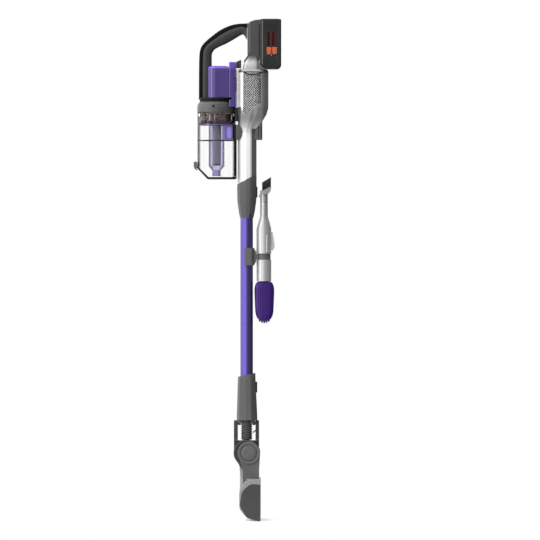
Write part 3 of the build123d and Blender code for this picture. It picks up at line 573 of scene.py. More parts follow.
def traced(target, points, side):
    """Where rays from the far side meet the target at the (y, z) points, and the normals there."""
    path, normals = [], []
    for y, z in points:
        hit, normal = on_side(target, y, z, side)
        if hit is not None:
            path.append(tuple(hit))
            normals.append(tuple(normal))
    return path, normals


def bin_ring(name, profile, slot, segments=96, material=None):
    """A ring or disc turned about the bin's axis."""
    return lathe(name, profile, (0, BIN_Y, 0), "bin", slot, segments=segments, material=material)


def mirrored(profile, side):
    """A profile along X for one side, kept in the same turning sense."""
    turned = [(radius, side * along) for radius, along in profile]
    return turned if side > 0 else turned[::-1]


# ---------------------------------------------------------------- handle
HANDLE_STATIONS = [  # outer point, inner point, as (y, z)
    ((-92.6, 1009.5), (-61.7, 1009.5)),
    ((-92.6, 1040), (-61.7, 1040)),
    ((-92.4, 1075), (-61.7, 1075)),
    ((-91.9, 1106.6), (-61.7, 1103)),
    ((-90.0, 1125.4), (-61.2, 1117)),
    ((-84.5, 1138.2), (-56.2, 1126.8)),
    ((-72.7, 1150.8), (-45.1, 1134)),
    ((-54.7, 1165.4), (-28.5, 1141.5)),
    ((-37.0, 1177.2), (-15.5, 1148.5)),
    ((-17.5, 1185.6), (-3.0, 1156)),
    ((0.2, 1189.6), (7.6, 1162.4)),
    ((12.0, 1190.4), (14.6, 1163.4)),
    ((23.0, 1190.8), (23.0, 1151.0)),
]
HANDLE_SECTION = [  # (share of the way from inner to outer, half width)
    (0.00, 6.0),
    (0.02, 9.5),
    (0.09, 12.8),
    (0.20, 14.6),
    (0.44, 16.2),
    (0.50, 16.4),
    (0.56, 16.2),
    (0.685, 15.1),
    (0.70, 14.3),
    (0.715, 14.9),
    (0.82, 13.6),
    (0.92, 11.2),
    (0.98, 7.5),
    (1.00, 3.5),
]
RUBBER_FROM = 0.70


def make_handle():
    """The loop handle, rubber on its outer side, and the rings between its foot and the bin, near black as
    painted shade in the gap there.
    """
    rows = [(*outer, *inner) for outer, inner in HANDLE_STATIONS]
    loop = HANDLE_SECTION + [(share, -half) for share, half in reversed(HANDLE_SECTION)]
    verts = []
    stations = spline_points(rows, 6)
    for outer_y, outer_z, inner_y, inner_z in stations:
        for share, half in loop:
            verts.append((half, inner_y + (outer_y - inner_y) * share, inner_z + (outer_z - inner_z) * share))
    faces = rings_to_faces(len(stations), len(loop))
    index = []
    for face in faces:
        shares = [loop[v % len(loop)][0] for v in face]
        index.append(int(min(shares) >= RUBBER_FROM and len(face) == 4))
    finishes = HANDLE_GREY, [FINISH["grip_rubber"]]
    handle = piece("handle_grip", verts, faces, "handheld", "grip_rubber", *finishes, index)
    crisp(handle, 40)
    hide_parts("handle_frame", "grip_overmould")
    # The dock and the seat ring are real parts, coloured near black as painted shade in the gap between the
    # handle's foot and the bin.
    dock = [(17, 1007.9), (42.4, 1007.9), (43, 1008.5), (43, 1011.6), (42.4, 1012.1), (17, 1012.1)]
    lathe("handle_dock", dock, (0, BIN_Y, 0), "handheld", "dark_plastic", material=SEAM_AND_GAP_SHADE)
    seat = [(31.2, 1004.6), (37.5, 1003.6), (40.6, 1003.4), (40.6, 1007.3), (31.2, 1007.3)]
    bin_ring("bin_seat_ring", seat, "seal_rubber", 64, SEAM_AND_GAP_SHADE)


# ---------------------------------------------------------------- body and grille
GRILLE_OUTLINE = [(13.6, 1069), (57.8, 1069), (57.8, 999.6), (22.5, 972.0), (13.6, 981.2)]
GRILLE_PITCH = 5.6
GRILLE_BACK = 58.5  # the window's rear edge, past which no ray is cast


def inside(point, outline, margin=0.0):
    """Whether a (y, z) point is inside a clockwise or anticlockwise convex outline by at least margin."""
    signs = []
    for (y0, z0), (y1, z1) in zip(outline, outline[1:] + outline[:1]):
        length = hypot(y1 - y0, z1 - z0)
        signs.append(((y1 - y0) * (point[1] - z0) - (z1 - z0) * (point[0] - y0)) / length)
    return all(s >= margin for s in signs) or all(s <= -margin for s in signs)


def draped(target, cells, side, inset=0.0, reach=(inf, inf)):
    """Cells of (y, z) corners laid onto the target as far as reach; a cell with a corner off it is dropped."""
    verts, faces, known = [], [], {}
    for cell in cells:
        ids = []
        for y, z in cell:
            key = (round(y, 3), round(z, 3))
            if key not in known:
                y, z = min(y, reach[0]), min(z, reach[1])
                hit, _ = on_side(target, min(y, GRILLE_BACK), z, side, inset)
                if hit is None:
                    break
                known[key] = len(verts)
                verts.append((hit.x, y, z))
            ids.append(known[key])
        if len(ids) == len(cell):
            faces.append(tuple(ids))
    return verts, faces


def make_grille():
    """A diamond lattice in each side's window, over a near black backing that paints the shade in the holes,
    with a rim and a near white front edge that is a painted highlight.
    """
    target = cad_surface("vent_grilles")
    half, step = GRILLE_PITCH / 2, 4
    cells = [(column, row) for row in range(46) for column in range(row % 2, 24, 2)]
    centres = [(12.0 + column * half, 969 + row * half) for column, row in cells]
    diamonds = [
        [(y - half, z), (y, z - half), (y + half, z), (y, z + half)]
        for y, z in centres
        if inside((y, z), GRILLE_OUTLINE, half * 0.55)
    ]
    squares = []
    for z in range(970, 1074, step):
        for column in range(13):
            y = 10.5 + column * step
            squares.append([(y, z), (y + step, z), (y + step, z + step), (y, z + step)])
    border = []
    for (y0, z0), (y1, z1) in zip(GRILLE_OUTLINE, GRILLE_OUTLINE[1:] + GRILLE_OUTLINE[:1]):
        steps = max(2, int(hypot(y1 - y0, z1 - z0) / 3))
        border += [(y0 + (y1 - y0) * s / steps, z0 + (z1 - z0) * s / steps) for s in range(steps)]
    for side, name in reversed(SIDES):
        verts, faces = draped(target, diamonds, side)
        faces = [face[::side] for face in faces]
        grille = piece(
            f"grille_{name}", verts, faces, "handheld", "silver_plastic", GRILLE_SILVER, smooth=False
        )
        bars = grille.modifiers.new("bars", "WIREFRAME")
        bars.thickness = 1.45 * MM
        bars.offset = 0
        bars.use_even_offset = False
        bars.use_boundary = True
        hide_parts("vent_grilles")
        path, normals = traced(target, border, side)
        rim = path + path[:1], normals + normals[:1]
        strip(f"grille_rim_{name}", *rim, 2.6, 0.8, "handheld", "silver_plastic", BODY_SILVER)
        # The front edge is near white: a painted highlight.
        edge = traced(target, [(11.4, z) for z in np.linspace(980.6, 1069.6, 31)], side)
        strip(f"grille_lit_edge_{name}", *edge, 4.6, 0.7, "handheld", "silver_plastic", SILVER_HIGHLIGHT)
        # The backing is near black: painted shade inside the holes.
        backing = draped(target, squares, side, 1.9, (58.4, 1069.4))
        back = piece(f"grille_shade_backing_{name}", *backing, "handheld", "dark_plastic", HOLE_SHADE)
        back.modifiers.new("thickness", "SOLIDIFY").thickness = 0.6 * MM


# The body's section in plan, as shares of its width and depth.
BODY_SECTION = [(0.32, 0.0), (0.47, 0.12), (0.5, 0.45), (0.47, 0.66), (0.24, 1.0)]


def body_ring(width, front, back):
    """The body's faceted section at one height, as (x, y) points."""
    half = [(share * width, front + depth * (back - front)) for share, depth in BODY_SECTION]
    return half + [(-x, y) for x, y in reversed(half)]


def make_front_panels():
    """Near white panels over the body's front bevels, beside the spine: a painted highlight of the lit front.
    """
    levels = [(989.0, 83.05, 74.0), (1000.0, 84.0, 74.2), (1072.0, 84.0, 74.2)]
    for side, name in SIDES:
        verts, faces = [], []
        for z, width, back in levels:
            depth = back - 1.0
            flank_y = 1.0 + 0.12 * depth
            flank = 0.47 * width
            grow = flank + 0.03 * width * (14.0 - flank_y) / (0.33 * depth)
            for x, y in ((18.0, 0.7), (0.32 * width, 0.7), (flank + 0.25, flank_y - 0.2), (grow + 0.3, 14.0)):
                verts.append((side * x, y, z))
        for level in range(len(levels) - 1):
            for k in range(3):
                a = level * 4 + k
                faces.append((a, a + 1, a + 5, a + 4))
        panel = piece(f"front_highlight_panel_{name}", verts, faces, "handheld", "silver_plastic", material=SILVER_HIGHLIGHT)
        recalc(panel)
        thick = panel.modifiers.new("thickness", "SOLIDIFY")
        thick.thickness = 0.5 * MM
        thick.offset = 0
        round_edges(panel, 0.9)


BELL = [  # height, half width, front, corner radius
    (1073.2, 36.8, 12.4, 9.0),
    (1078.0, 36.8, 12.4, 9.0),
    (1084.0, 36.2, 12.8, 9.0),
    (1090.0, 34.8, 13.6, 9.0),
    (1095.0, 32.8, 15.0, 8.8),
    (1100.0, 30.6, 17.4, 8.5),
    (1105.0, 28.9, 20.2, 8.3),
    (1109.0, 27.9, 22.4, 8.2),
    (1112.5, 27.4, 23.5, 8.0),
]


def make_dome():
    """The silver shoulder of the motor body and the bell from which the column rises."""
    levels = [(z, rounded_box(half, front, 52.6, radius)) for z, half, front, radius in BELL]
    bell = loft("dome_bell", levels, "handheld", "silver_plastic", material=DOME_SILVER)
    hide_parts("motor_dome")
    shoulder = [
        (1073.6, body_ring(84.0, 1.0, 74.2)),
        (1076.5, body_ring(83.2, 1.3, 73.6)),
        (1078.8, body_ring(80.6, 2.6, 71.8)),
        (1080.4, body_ring(75.0, 5.5, 68.0)),
    ]
    round_edges(loft("dome_shoulder", shoulder, "handheld", "silver_plastic", material=BODY_SILVER), 1.0)
    seam = [(1072.5, body_ring(84.5, 0.8, 74.4)), (1073.9, body_ring(84.5, 0.8, 74.4))]
    loft("dome_seam", seam, "handheld", "dark_plastic", material=SEAM_AND_GAP_SHADE)
    for side, name in SIDES:
        shares = np.linspace(0, 1, 19)
        arc = [(side * 42.35, 14.5 + 46 * t, 1072.6 - 5.4 * sin(pi * t)) for t in shares]
        strip(f"dome_lip_{name}", arc, (side, 0, 0.1), 2.6, 1.0, "handheld", "silver_plastic", SEAM_AND_GAP_SHADE)
    heel_back = [(52.3, 1101), (53.8, 1095), (56.5, 1090), (61.4, 1085), (68, 1081.2), (68, 1079)]
    heel = [(50, 1079), (50, 1101), *heel_back]
    plate("dome_heel", heel, -33, 33, "handheld", "silver_plastic", 0.8, HEEL_SHADED_SILVER)
    # A near white filler between the spine and the body: a painted highlight of the lit front.
    block = rounded_box(30, -3.2, 4.0, 2.0)
    loft("spine_highlight_filler", [(991.0, block), (1079.5, block)], "handheld", "silver_plastic", material=SILVER_HIGHLIGHT)


def make_filter_details():
    """A dark strip between the filter's cover and its spine, painted shade in the gap there,
    and the lines on the hanger pocket.
    """
    seam = rounded_box(36.5, -21.0, -19.9, 0.5)
    loft("filter_gap_shade", [(1012.4, seam), (1089.0, seam)], "handheld", "seal_rubber", material=SEAM_AND_GAP_SHADE)
    lines = (("front", 50.8, SEAM_AND_GAP_SHADE), ("mid", 54.0, FINISH["grey_plastic"]), ("back", 57.4, SEAM_AND_GAP_SHADE))
    for side, name in SIDES:
        for tag, y, finish in lines:
            path = [(side * 14.0, y, z) for z in np.linspace(915, 944, 9)]
            part = f"hanger_line_{tag}_{name}"
            strip(part, path, (side, 0, 0), 1.8, 0.6, "handheld", "dark_plastic", finish)


# ---------------------------------------------------------------- column, buttons and battery
def make_column_back():
    """A dark strip down the column's back edges, painted shade in the gap where the battery pack meets it."""
    band = [(51.6, 1104), (51.6, 1199), (52.9, 1199), (52.9, 1104)]
    for side, name in SIDES:
        edges = side * 19.0, side * 26.4
        plate(f"column_gap_shade_{name}", band, *edges, "handheld", "seal_rubber", 0.2, SEAM_AND_GAP_SHADE)


def make_column_trim():
    """A bright cap rail along each side of the column's sloping top, and a dark wedge at its front top."""
    top = [(24.2, 1188.4), (24.2, 1191.2), (28.0, 1193.8), (40.0, 1198.0), (52.2, 1200.0), (52.2, 1197.0)]
    for side, name in SIDES:
        plate(f"column_trim_{name}", top, side * 12.5, side * 26.6, "handheld", "silver_plastic", 0.7)
    # The wedge is near black: painted shade in the gap where the handle meets the column.
    wedge = [(23.2, 1180.5), (23.2, 1191.6), (29.5, 1194.3), (24.6, 1180.5)]
    plate("grip_wedge", wedge, -17.2, 17.2, "handheld", "dark_plastic", 0.8)


SLOT_CENTRES = (74.5, 86.3)


def make_battery_details():
    """The red-rimmed slots, with near black floors as painted shade inside them, and the lighter bead on both
    sides of the battery, a painted highlight on the pack's front chamfer.
    """
    for side, name in SIDES:
        face = side * 39.0
        for number, centre in enumerate(SLOT_CENTRES):
            y0, y1, z0, z1 = centre - 3.4, centre + 3.4, 1136, 1169
            outline = [(y0, z0), (y1, z0), (y1, z1), (y0, z1), (y0, z0)]
            path = []
            for (ya, za), (yb, zb) in zip(outline, outline[1:]):
                shares = (0, 0.25, 0.5, 0.75)
                path += [(face - side * 0.25, ya + (yb - ya) * t, za + (zb - za) * t) for t in shares]
            path.append(path[0])
            rim_name = f"slot_rim_{name}_{number}"
            strip(rim_name, path, (side, 0, 0), 1.0, 0.55, "battery", "orange_button", SLOT_RED)
            deep, near = face - side * 1.25, face - side * 0.85
            well = [(y0 + 0.2, z0 + 0.2), (y1 - 0.2, z0 + 0.2), (y1 - 0.2, z1 - 0.2), (y0 + 0.2, z1 - 0.2)]
            # The floor is near black: painted shade inside the slot.
            plate(f"slot_floor_{name}_{number}", well, deep, near, "battery", "dark_plastic", 0.1, HOLE_SHADE)
            deep, near = face - side * 0.9, face - side * 0.3
            for bar in range(5):
                z = 1141 + bar * 5.6
                rib = [(y0 + 0.6, z), (y1 - 0.6, z), (y1 - 0.6, z + 1.1), (y0 + 0.6, z + 1.1)]
                rib_name = f"slot_rib_{name}_{number}_{bar}"
                plate(rib_name, rib, deep, near, "battery", "dark_plastic", 0.2, SEAM_AND_GAP_SHADE)
        # The bead's lighter grey is a painted highlight on the pack's front chamfer.
        bead = [(side * 38.9, 60.0, z) for z in np.linspace(1091, 1196, 24)]
        strip(f"battery_highlight_bead_{name}", bead, (side, 0, 0), 3.6, 0.8, "battery", "grey_plastic")


def half_round(y0, y1, z_top, z_low, radius, steps=8):
    """A tab's outline: square above, round below."""
    points = [(y0, z_top), (y0, z_low + radius)]
    for k in range(1, steps):
        a = pi / 2 * k / steps
        points.append((y0 + radius - radius * cos(a), z_low + radius - radius * sin(a)))
    for k in range(steps):
        a = pi / 2 * k / steps
        points.append((y1 - radius + radius * sin(a), z_low + radius - radius * cos(a)))
    points += [(y1, z_low + radius), (y1, z_top)]
    return points


def make_battery_buttons():
    """The two-lobed release buttons with their ribs."""
    for side, name in SIDES:
        body = f"battery_button_{name}"
        front, back = [half_round(y, y + 11.0, 1132.8, 1113.2, 7.6) for y in (70.2, 83.4)]
        depth = side * 36.2, side * 40.0
        first = plate(f"button_lobe_front_{name}", front, *depth, body, "orange_button", 1.0)
        plate(f"button_lobe_back_{name}", back, *depth, body, "orange_button", 1.0)
        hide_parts(body)
        web = [(80.6, 1132), (84.0, 1132), (84.0, 1116.5), (80.6, 1116.5)]
        plate(f"button_groove_{name}", web, side * 35.1, side * 38.4, body, "orange_button", 0.3, SLOT_RED)
        for row in range(4):
            z = 1117.5 + row * 3.6
            for y0 in (72.6, 85.4):
                path = [(side * 39.95, y0 + 6.6 * t / 6, z) for t in range(7)]
                rib_name = f"button_rib_{name}_{row}_{int(y0)}"
                strip(rib_name, path, (side, 0, 0), 1.3, 0.5, body, "orange_button")


# ---------------------------------------------------------------- dust bin
BIN_Y = -50.2
BIN_R = 46.0


def make_bin_details():
    """The rings in and around the bin, its near white studs as painted glints on the ring, and a dark dot on
    its collar as painted shade in the latch's dent.
    """
    band = [(BIN_R, 908.7), (BIN_R + 0.75, 909.0), (BIN_R + 0.75, 910.4), (BIN_R, 910.7)]
    bin_ring("bin_band", band, "dark_plastic")
    lip = [(43.9, 977.4), (BIN_R + 0.5, 977.4), (BIN_R + 0.5, 979.2), (43.9, 979.2)]
    bin_ring("bin_top_lip", lip, "grey_plastic", material=COLLAR_GREY)
    veil = [(42.2, 952.0), (43.5, 952.0), (43.5, 974.0), (42.2, 974.0)]
    bin_ring("bin_top_veil", veil, "clear_bin", material=VEIL)
    skirt = [(34.3, 956.0), (34.9, 956.0), (34.9, 979.5), (34.3, 979.5)]
    bin_ring("basket_skirt", skirt, "orange_plastic")
    rim = [(39.9, 945.6), (41.6, 946.8), (41.6, 949.4), (39.9, 951.2)]
    bin_ring("hood_rim", rim, "purple_plastic", material=HOOD_PURPLE)
    make_floor_rim()
    make_chute_lens()
    for side, name in SIDES:
        for angle, tag in ((-62, "front"), (62, "back")):
            out = Vector((side * cos(radians(angle)), sin(radians(angle)), 0))
            centre = Vector((0, BIN_Y, 970.5)) + out * (BIN_R + 0.2)
            # The studs are near white: painted glints on the sides of the ring.
            dome(f"bin_stud_{tag}_{name}", centre, out, 4.0, 1.6, "bin", "pale_plastic", SILVER_HIGHLIGHT)
            rim_name = f"bin_stud_rim_{tag}_{name}"
            ring_around(rim_name, centre, out, 4.6, 0.7, "bin", "dark_plastic", material=SEAM_AND_GAP_SHADE)
        out = Vector((side * cos(radians(-9)), sin(radians(-9)), 0))
        centre = Vector((0, BIN_Y, 991.5)) + out * 46.1
        out.z = 0.12
        # The dot is near black: painted shade in the latch's small dent.
        dome(f"collar_mark_{name}", centre, out, 3.0, 0.5, "bin", "dark_plastic", SEAM_AND_GAP_SHADE)
        ring_around(f"collar_mark_rim_{name}", centre, out, 3.6, 0.45, "bin", "grey_plastic")


def make_chute_lens():
    """The pane over the chute's open side, where the dirty air turns into the bin; its bright middle is a
    painted highlight and its darker ends are painted shade.
    """
    pane = [(-29.4, 914.8), (-11.2, 914.8), (-11.2, 942.0), (-29.4, 942.0)]
    plate("chute_lens", pane, 14.8, 16.2, "bin", "purple_plastic", 0.6, CHUTE_LIT)
    plate("chute_lens_left", pane, -17.4, -16.7, "bin", "purple_plastic", 0.3, CHUTE_LIT)


def bin_floor_height(y):
    """The bin door's underside at y: flat at the back and rising at 45 degrees towards the front."""
    return 816.5 if y > -70.8 else 816.5 + (-70.8 - y) * 42.0 / 41.2


def make_floor_rim():
    """The dark seal around the door's edge, open at the hinge."""
    lift, radius, steps = 2.6, 46.1, 120
    path, normals = [], []
    for step in range(steps + 1):
        angle = 2 * pi * step / steps
        y = BIN_Y + radius * sin(angle)
        path.append((radius * cos(angle), y, bin_floor_height(y) + lift))
        normals.append((cos(angle), sin(angle), 0))
    keep = [k for k in range(steps + 1) if not (path[k][1] > -6.5 and abs(path[k][0]) < 14)]
    start = next(k for k in range(steps + 1) if k not in keep)
    order = [k % steps for k in range(start, start + steps + 1) if k % steps in keep]
    rim = [path[k] for k in order], [normals[k] for k in order]
    strip("door_rim", *rim, 5.0, 0.9, "bin_door", "seal_rubber", SEAM_AND_GAP_SHADE)


def frame_of(out):
    """A unit direction with two more across it."""
    out = Vector(out).normalized()
    side = out.orthogonal().normalized()
    return out, side, out.cross(side)


def dome(name, centre, out, radius, height, body, slot, material=None):
    """A round cap that stands out from centre."""
    out, side, other = frame_of(out)
    rings, segments = 5, 20
    verts = []
    for ring in range(rings):
        t = ring / rings
        r, h = radius * cos(t * pi / 2), height * sin(t * pi / 2)
        for k in range(segments):
            a = 2 * pi * k / segments
            verts.append(tuple(centre + (side * cos(a) + other * sin(a)) * r + out * h))
    verts.append(tuple(centre + out * height))
    faces = rings_to_faces(rings, segments, caps=False)
    last = (rings - 1) * segments
    faces += [(last + k, last + (k + 1) % segments, len(verts) - 1) for k in range(segments)]
    faces.append(tuple(reversed(range(segments))))
    return piece(name, verts, faces, body, slot, material=material)


def ring_around(name, centre, out, radius, thick, body, slot, material=None):
    """A round bead about centre, across out."""
    out, side, other = frame_of(out)
    segments = 32
    verts = []
    for k in range(segments):
        a = 2 * pi * k / segments
        radial = side * cos(a) + other * sin(a)
        for m in range(8):
            b = 2 * pi * m / 8
            verts.append(tuple(centre + radial * (radius + thick * cos(b)) + out * thick * sin(b)))
    return piece(name, verts, rings_to_faces(segments, 8, closed=True), body, slot, material=material)


def make_mesh_screen():
    """A perforated steel tube inside the cyclone."""
    verts, faces = [], []
    around, rows = 44, 62
    z0, z1 = 851.0, 953.0
    for row in range(rows + 1):
        for k in range(around):
            a = 2 * pi * (k + 0.5 * (row % 2)) / around
            radius = 9.6 + 1.2 * row / rows
            verts.append((radius * cos(a), BIN_Y + radius * sin(a), z0 + (z1 - z0) * row / rows))
    for row in range(0, rows - 1):
        for k in range(around):
            here = row * around + k
            shift = 0 if row % 2 else -1
            left = (row + 1) * around + (k + shift) % around
            right = (row + 1) * around + (k + shift + 1) % around
            above = (row + 2) * around + k
            faces.append((here, right, above, left))
    screen = piece("screen_mesh", verts, faces, "bin", "steel_mesh", smooth=False)
    bars = screen.modifiers.new("bars", "WIREFRAME")
    bars.thickness = 0.6 * MM
    bars.use_even_offset = False
    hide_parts("mesh_screen")
    cap = [(0.01, 952.5), (11.2, 952.5), (17.2, 955.4), (17.2, 957), (0.01, 957)]
    bin_ring("screen_flange", cap, "steel_mesh", 48)
    foot = [(0.01, 849.6), (10.0, 849.6), (10.0, 852.4), (0.01, 852.4)]
    bin_ring("screen_foot", foot, "dark_plastic", 48)
    core = [(0.01, 852.0), (8.6, 852.0), (9.7, 953.0), (0.01, 953.0)]
    bin_ring("screen_core", core, "steel_mesh", 48, CORE_GREY)
    # The stub's bright lilac is a painted glow.
    glow = [(0.01, 824.6), (8.1, 824.6), (8.1, 838.0), (0.01, 838.0)]
    bin_ring("stub_core", glow, "clear_tube", 48, STUB_GLOW_LILAC)


# ---------------------------------------------------------------- accessories
def make_dusting_bristles():
    """Loose filaments in place of the solid tuft."""
    roots, tips = [], []
    while len(roots) < 1500:
        x, y = random.uniform(-19.6, 19.6), random.uniform(59.2, 80.0)
        if abs(x) < 17.2 and y < 74.8:
            continue
        top = 809 + (y - 58.9) * 0.6 + random.uniform(-1.4, 0.1)
        roots.append((x, y, 787.6 + (y - 58.9) * 0.48))
        tips.append((x, min(80.3, y + random.uniform(-0.5, 0.4)), top))
    brush = needles("brush_filaments", roots, tips, 0.34, "dusting_brush", "bristle_black")
    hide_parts("dusting_bristles")


def make_crevice_details():
    """A pale rib and a dark arch on both sides of the nozzle: the rib's pale grey is a painted highlight and
    the arch's near black is painted shade in a U-shaped slot.
    """
    target = cad_surface("crevice_nozzle")
    arch = [(66 - 4.6 * cos(t), 766 - 4.6 * sin(t)) for t in np.linspace(0.3, 2.85, 8)]
    outline = [(61.4, 783), (61.4, 766), *arch, (70.6, 766), (70.6, 783)]
    for side, name in SIDES:
        rib = traced(target, [(71.0, z) for z in np.linspace(641, 682, 14)], side)
        strip(f"nozzle_lit_rib_{name}", *rib, 4.2, 0.9, "crevice_tool", "pale_plastic")
        mark = traced(target, outline, side)
        strip(f"nozzle_shade_arch_{name}", *mark, 0.9, 0.35, "crevice_tool", "silver_plastic", SEAM_AND_GAP_SHADE)


PET_LEVELS = [  # height, half width across Y, half thickness
    (572.0, 8.0, 9.0),
    (571.9, 13.0, 12.0),
    (570.6, 16.8, 13.6),
    (567.4, 19.8, 14.6),
    (562.0, 22.2, 15.0),
    (554.0, 23.7, 15.0),
    (546.0, 23.8, 15.0),
    (530.0, 23.2, 15.0),
    (512.0, 22.4, 15.0),
    (500.0, 21.8, 15.0),
    (493.0, 20.8, 14.9),
    (487.0, 18.8, 14.6),
    (482.0, 15.8, 14.0),
    (478.6, 12.0, 13.0),
    (477.2, 7.0, 11.0),
]
PET_Y = 64.4


def make_pet_cover():
    """The rounded paddle of the pet tool, fluted from top to bottom."""
    around = 120
    levels = []
    for z, wide, thick in PET_LEVELS:
        outline = []
        for k in range(around):
            a = 2 * pi * k / around
            c, si = cos(a), sin(a)
            x = thick * copysign(abs(c) ** 0.5, c)
            y = wide * copysign(abs(si) ** 0.62, si)
            flute = 0.55 * (0.5 - 0.5 * cos(2 * pi * y / 5.2)) if 484 < z < 566 else 0.2
            outline.append((x - copysign(flute, x) * min(1, abs(x) / 8), PET_Y + y))
        levels.append((z, outline))
    cover = loft("pet_cover_fluted", levels, "pet_tool", "purple_plastic", material=PET_PURPLE)
    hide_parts("pet_cover")


def make_pet_details():
    """The cover and the soft nubs of the pet tool."""
    make_pet_cover()
    roots, tips = [], []
    for x in np.linspace(-10, 10, 6):
        for column in range(5):
            y = PET_Y + (column - 2) * 5.4
            reach = 1 - ((y - PET_Y) / 17) ** 2
            low = 486.0 - 14.2 * sqrt(reach)
            roots.append((x, y, 489))
            tips.append((x, y, max(471.6, low)))
    nubs = needles("pet_nubs", roots, tips, 3.7, "pet_tool", "pad_rubber", sides=10, material=PET_PURPLE)
    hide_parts("pet_pad")


# ---------------------------------------------------------------- neck and floor head
WAND_Y = 22.0
HOSE_R = 14.0
HOSE_SEGMENTS = 48
TILT_Y, TILT_Z = 27.4, 160.8
ROLL_Y, ROLL_Z, ROLL_R = 34.0, 32.5, 20.5


def make_hose():
    """The ribbed hose between the collar above and the yoke below."""
    low, high, ribs = 192.0, 246.0, 13
    pitch = (high - low) / ribs
    profile = []
    for rib in range(ribs):
        for share, depth in ((0.0, 2.2), (0.18, 1.9), (0.34, 0.4), (0.5, 0.0), (0.66, 0.4), (0.82, 1.9)):
            profile.append((HOSE_R - depth, low + (rib + share) * pitch))
    profile.append((HOSE_R - 2.2, high))
    turns = np.linspace(0, 2 * pi, HOSE_SEGMENTS, endpoint=False)
    verts = [(radius * cos(a), WAND_Y + radius * sin(a), z) for radius, z in profile for a in turns]
    faces = rings_to_faces(len(profile), HOSE_SEGMENTS, caps=False)
    hose = new_object("neck_hose_ribbed", verts, faces, [FINISH["seal_rubber"]])
    thick = hose.modifiers.new("thickness", "SOLIDIFY")
    thick.thickness = 0.8 * MM
    thick.offset = -1
    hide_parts("neck_hose")
    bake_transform(hose)


def make_pivot_caps():
    """The round caps over the head's tilt pins, with a groove and a raised middle."""
    flank = [(6.0, 43.1), (26.4, 43.1), (27.0, 43.7), (27.0, 44.8), (26.2, 45.6), (21.0, 45.9), (20.0, 45.3)]
    face = [(19.4, 44.4), (18.6, 44.4), (18.2, 45.0), (17.6, 46.4), (16.4, 47.0), (9.0, 47.0), (0.01, 47.0)]
    ring = flank + face + [(0.01, 43.1)]
    pin = [(0.01, 27.0), (6.0, 27.0), (6.0, 43.2), (0.01, 43.2)]
    place = (0, TILT_Y, TILT_Z)
    for side, name in SIDES:
        turned = mirrored(ring, side)
        cap = lathe(f"pivot_cap_{name}", turned, place, "head", "grey_plastic", axis="X", segments=96)
        lathe(f"tilt_pin_{name}", mirrored(pin, side), place, "head", "grey_plastic", axis="X")
        if side > 0:
            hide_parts("pivot_caps")


def make_end_caps():
    """Each end of the floor head: a pale rim around a dark grained panel."""
    rim_top = [(55.5, 97.5, 1.2), (22, 98.5, 16), (4.6, 74, 26)]
    rim = rounded(rim_top + [(4.6, 30, 24), (22, 8, 16), (49, 0.1, 5), (55.5, 0.1, 1.0)])
    panel_top = [(54.9, 87.5, 2), (31, 89.5, 18), (10.4, 70, 24)]
    panel = rounded(panel_top + [(5.6, 36, 20), (22.3, 9.0, 15), (49, 0.9, 5), (54.9, 0.9, 1)])
    for side, name in SIDES:
        cap = plate(f"end_rim_{name}", rim, side * 126.0, side * 130.9, "head", "dark_plastic", 1.4, HEAD_RIM)
        if side > 0:
            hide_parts("end_caps")
        depth = side * 128.0, side * 131.95
        plate(f"end_panel_{name}", panel, *depth, "head", "dark_plastic", 1.2, PANEL_DARK)
        x0, x1 = sorted((side * 121.0, side * 126.5))
        pin = [(0.01, x0), (3.0, x0), (3.0, x1), (0.01, x1)]
        lathe(f"roll_pin_{name}", pin, (0, ROLL_Y, ROLL_Z), "head", "dark_plastic", axis="X", segments=32)
    top_band = [(22, 98.2), (54.6, 97.6), (54.6, 98.5), (46, 98.9), (30, 99.1), (22, 98.9)]
    plate("head_top_band", top_band, -125.5, 125.5, "head", "grey_plastic", 0.25, HEAD_RIM)


def make_duct():
    """The pale duct on the head's front, up to where it swings clear of the yoke."""
    top = [(32, 118.4), (24, 118.4), (16, 119.9), (10, 122.0), (4.6, 124.8)]
    outline = top + [(6.2, 100), (6.0, 84), (5.0, 68), (4.7, 59), (12, 59), (14, 84), (32, 84)]
    duct = plate("duct_shell", outline, -23.8, 23.8, "head", "duct_clear", 1.2)
    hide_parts("head_duct")
    for row in range(5):
        z = 76 + row * 9.5
        path = [(x, 5.6, z) for x in np.linspace(-19, 19, 12)]
        strip(f"duct_rib_{row}", path, (0, -1, 0), 1.6, 0.7, "head", "duct_clear")


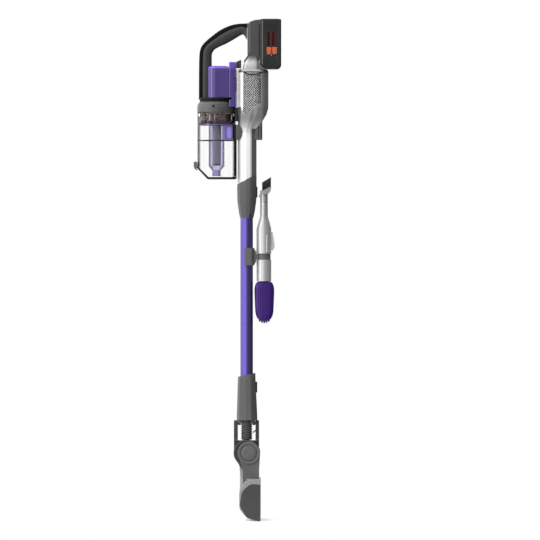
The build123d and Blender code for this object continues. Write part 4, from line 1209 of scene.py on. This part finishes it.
def make_yoke_details():
    """The skirt under the yoke's barrel and a cable guide beside the hose."""
    front = [(-2.8, 141.6), (0.8, 136.4), (3.9, 131.2), (5.2, 126.6), (10, 123.4), (16, 121.3)]
    skirt = front + [(24, 120.0), (34, 120.6), (37, 131), (30, 136), (10, 138)]
    plate("yoke_skirt", skirt, -22, 22, "yoke", "grey_plastic", 0.8, SKIRT_GREY)
    guide = [(36.9, 207.0), (43.8, 212.6), (43.8, 216.2), (36.9, 210.6)]
    plate("cable_guide", guide, -4, 4, "yoke", "dark_plastic", 0.6, YOKE_GREY)
    ring = [(28.2, 33.0), (30.2, 33.0), (30.2, 33.9), (28.2, 33.9)]
    for side, name in SIDES:
        turned = mirrored(ring, side)
        lathe(f"barrel_ring_{name}", turned, (0, 21.6, TILT_Z), "yoke", "grey_plastic", axis="X", segments=96)


def make_roll():
    """Helical rows of stiff tufts over a soft pile."""
    roots, tips = [], []
    rows, length = 6, 220.0
    for row in range(rows):
        for step in range(150):
            x = -length / 2 + length * step / 149
            a = 2 * pi * row / rows + 2.6 * x / length
            for spread in (-0.06, 0.0, 0.06):
                b = a + spread + random.uniform(-0.02, 0.02)
                roots.append((x, ROLL_Y + 15.2 * cos(b), ROLL_Z + 15.2 * sin(b)))
                reach = ROLL_R - random.uniform(0.0, 0.7)
                lean = random.uniform(-0.4, 0.4)
                tips.append((x + lean, ROLL_Y + reach * cos(b), ROLL_Z + reach * sin(b)))
    tufts = needles("roll_tufts", roots, tips, 0.5, "brush_roll", "roll_pile")
    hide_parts("roll_bristles")
    pile = [(15.4, -111.5), (17.0, -111.5), (17.2, -110.5), (17.2, 110.5), (17.0, 111.5), (15.4, 111.5)]
    lathe("roll_pile_sleeve", pile, (0, ROLL_Y, ROLL_Z), "brush_roll", "roll_pile", axis="X", segments=72)


bpy.context.scene.view_settings.view_transform = "Standard"
STEPS = (
    make_camera, make_world, make_lights, make_floor, paint_cad_nodes, make_handle, make_dome,
    make_front_panels, make_filter_details, make_grille, make_column_back, make_column_trim,
    make_battery_details, make_battery_buttons, make_bin_details, make_mesh_screen, make_dusting_bristles,
    make_crevice_details, make_pet_details, make_hose, make_pivot_caps, make_end_caps, make_duct,
    make_yoke_details, make_roll,
)
for make in STEPS:
    make()
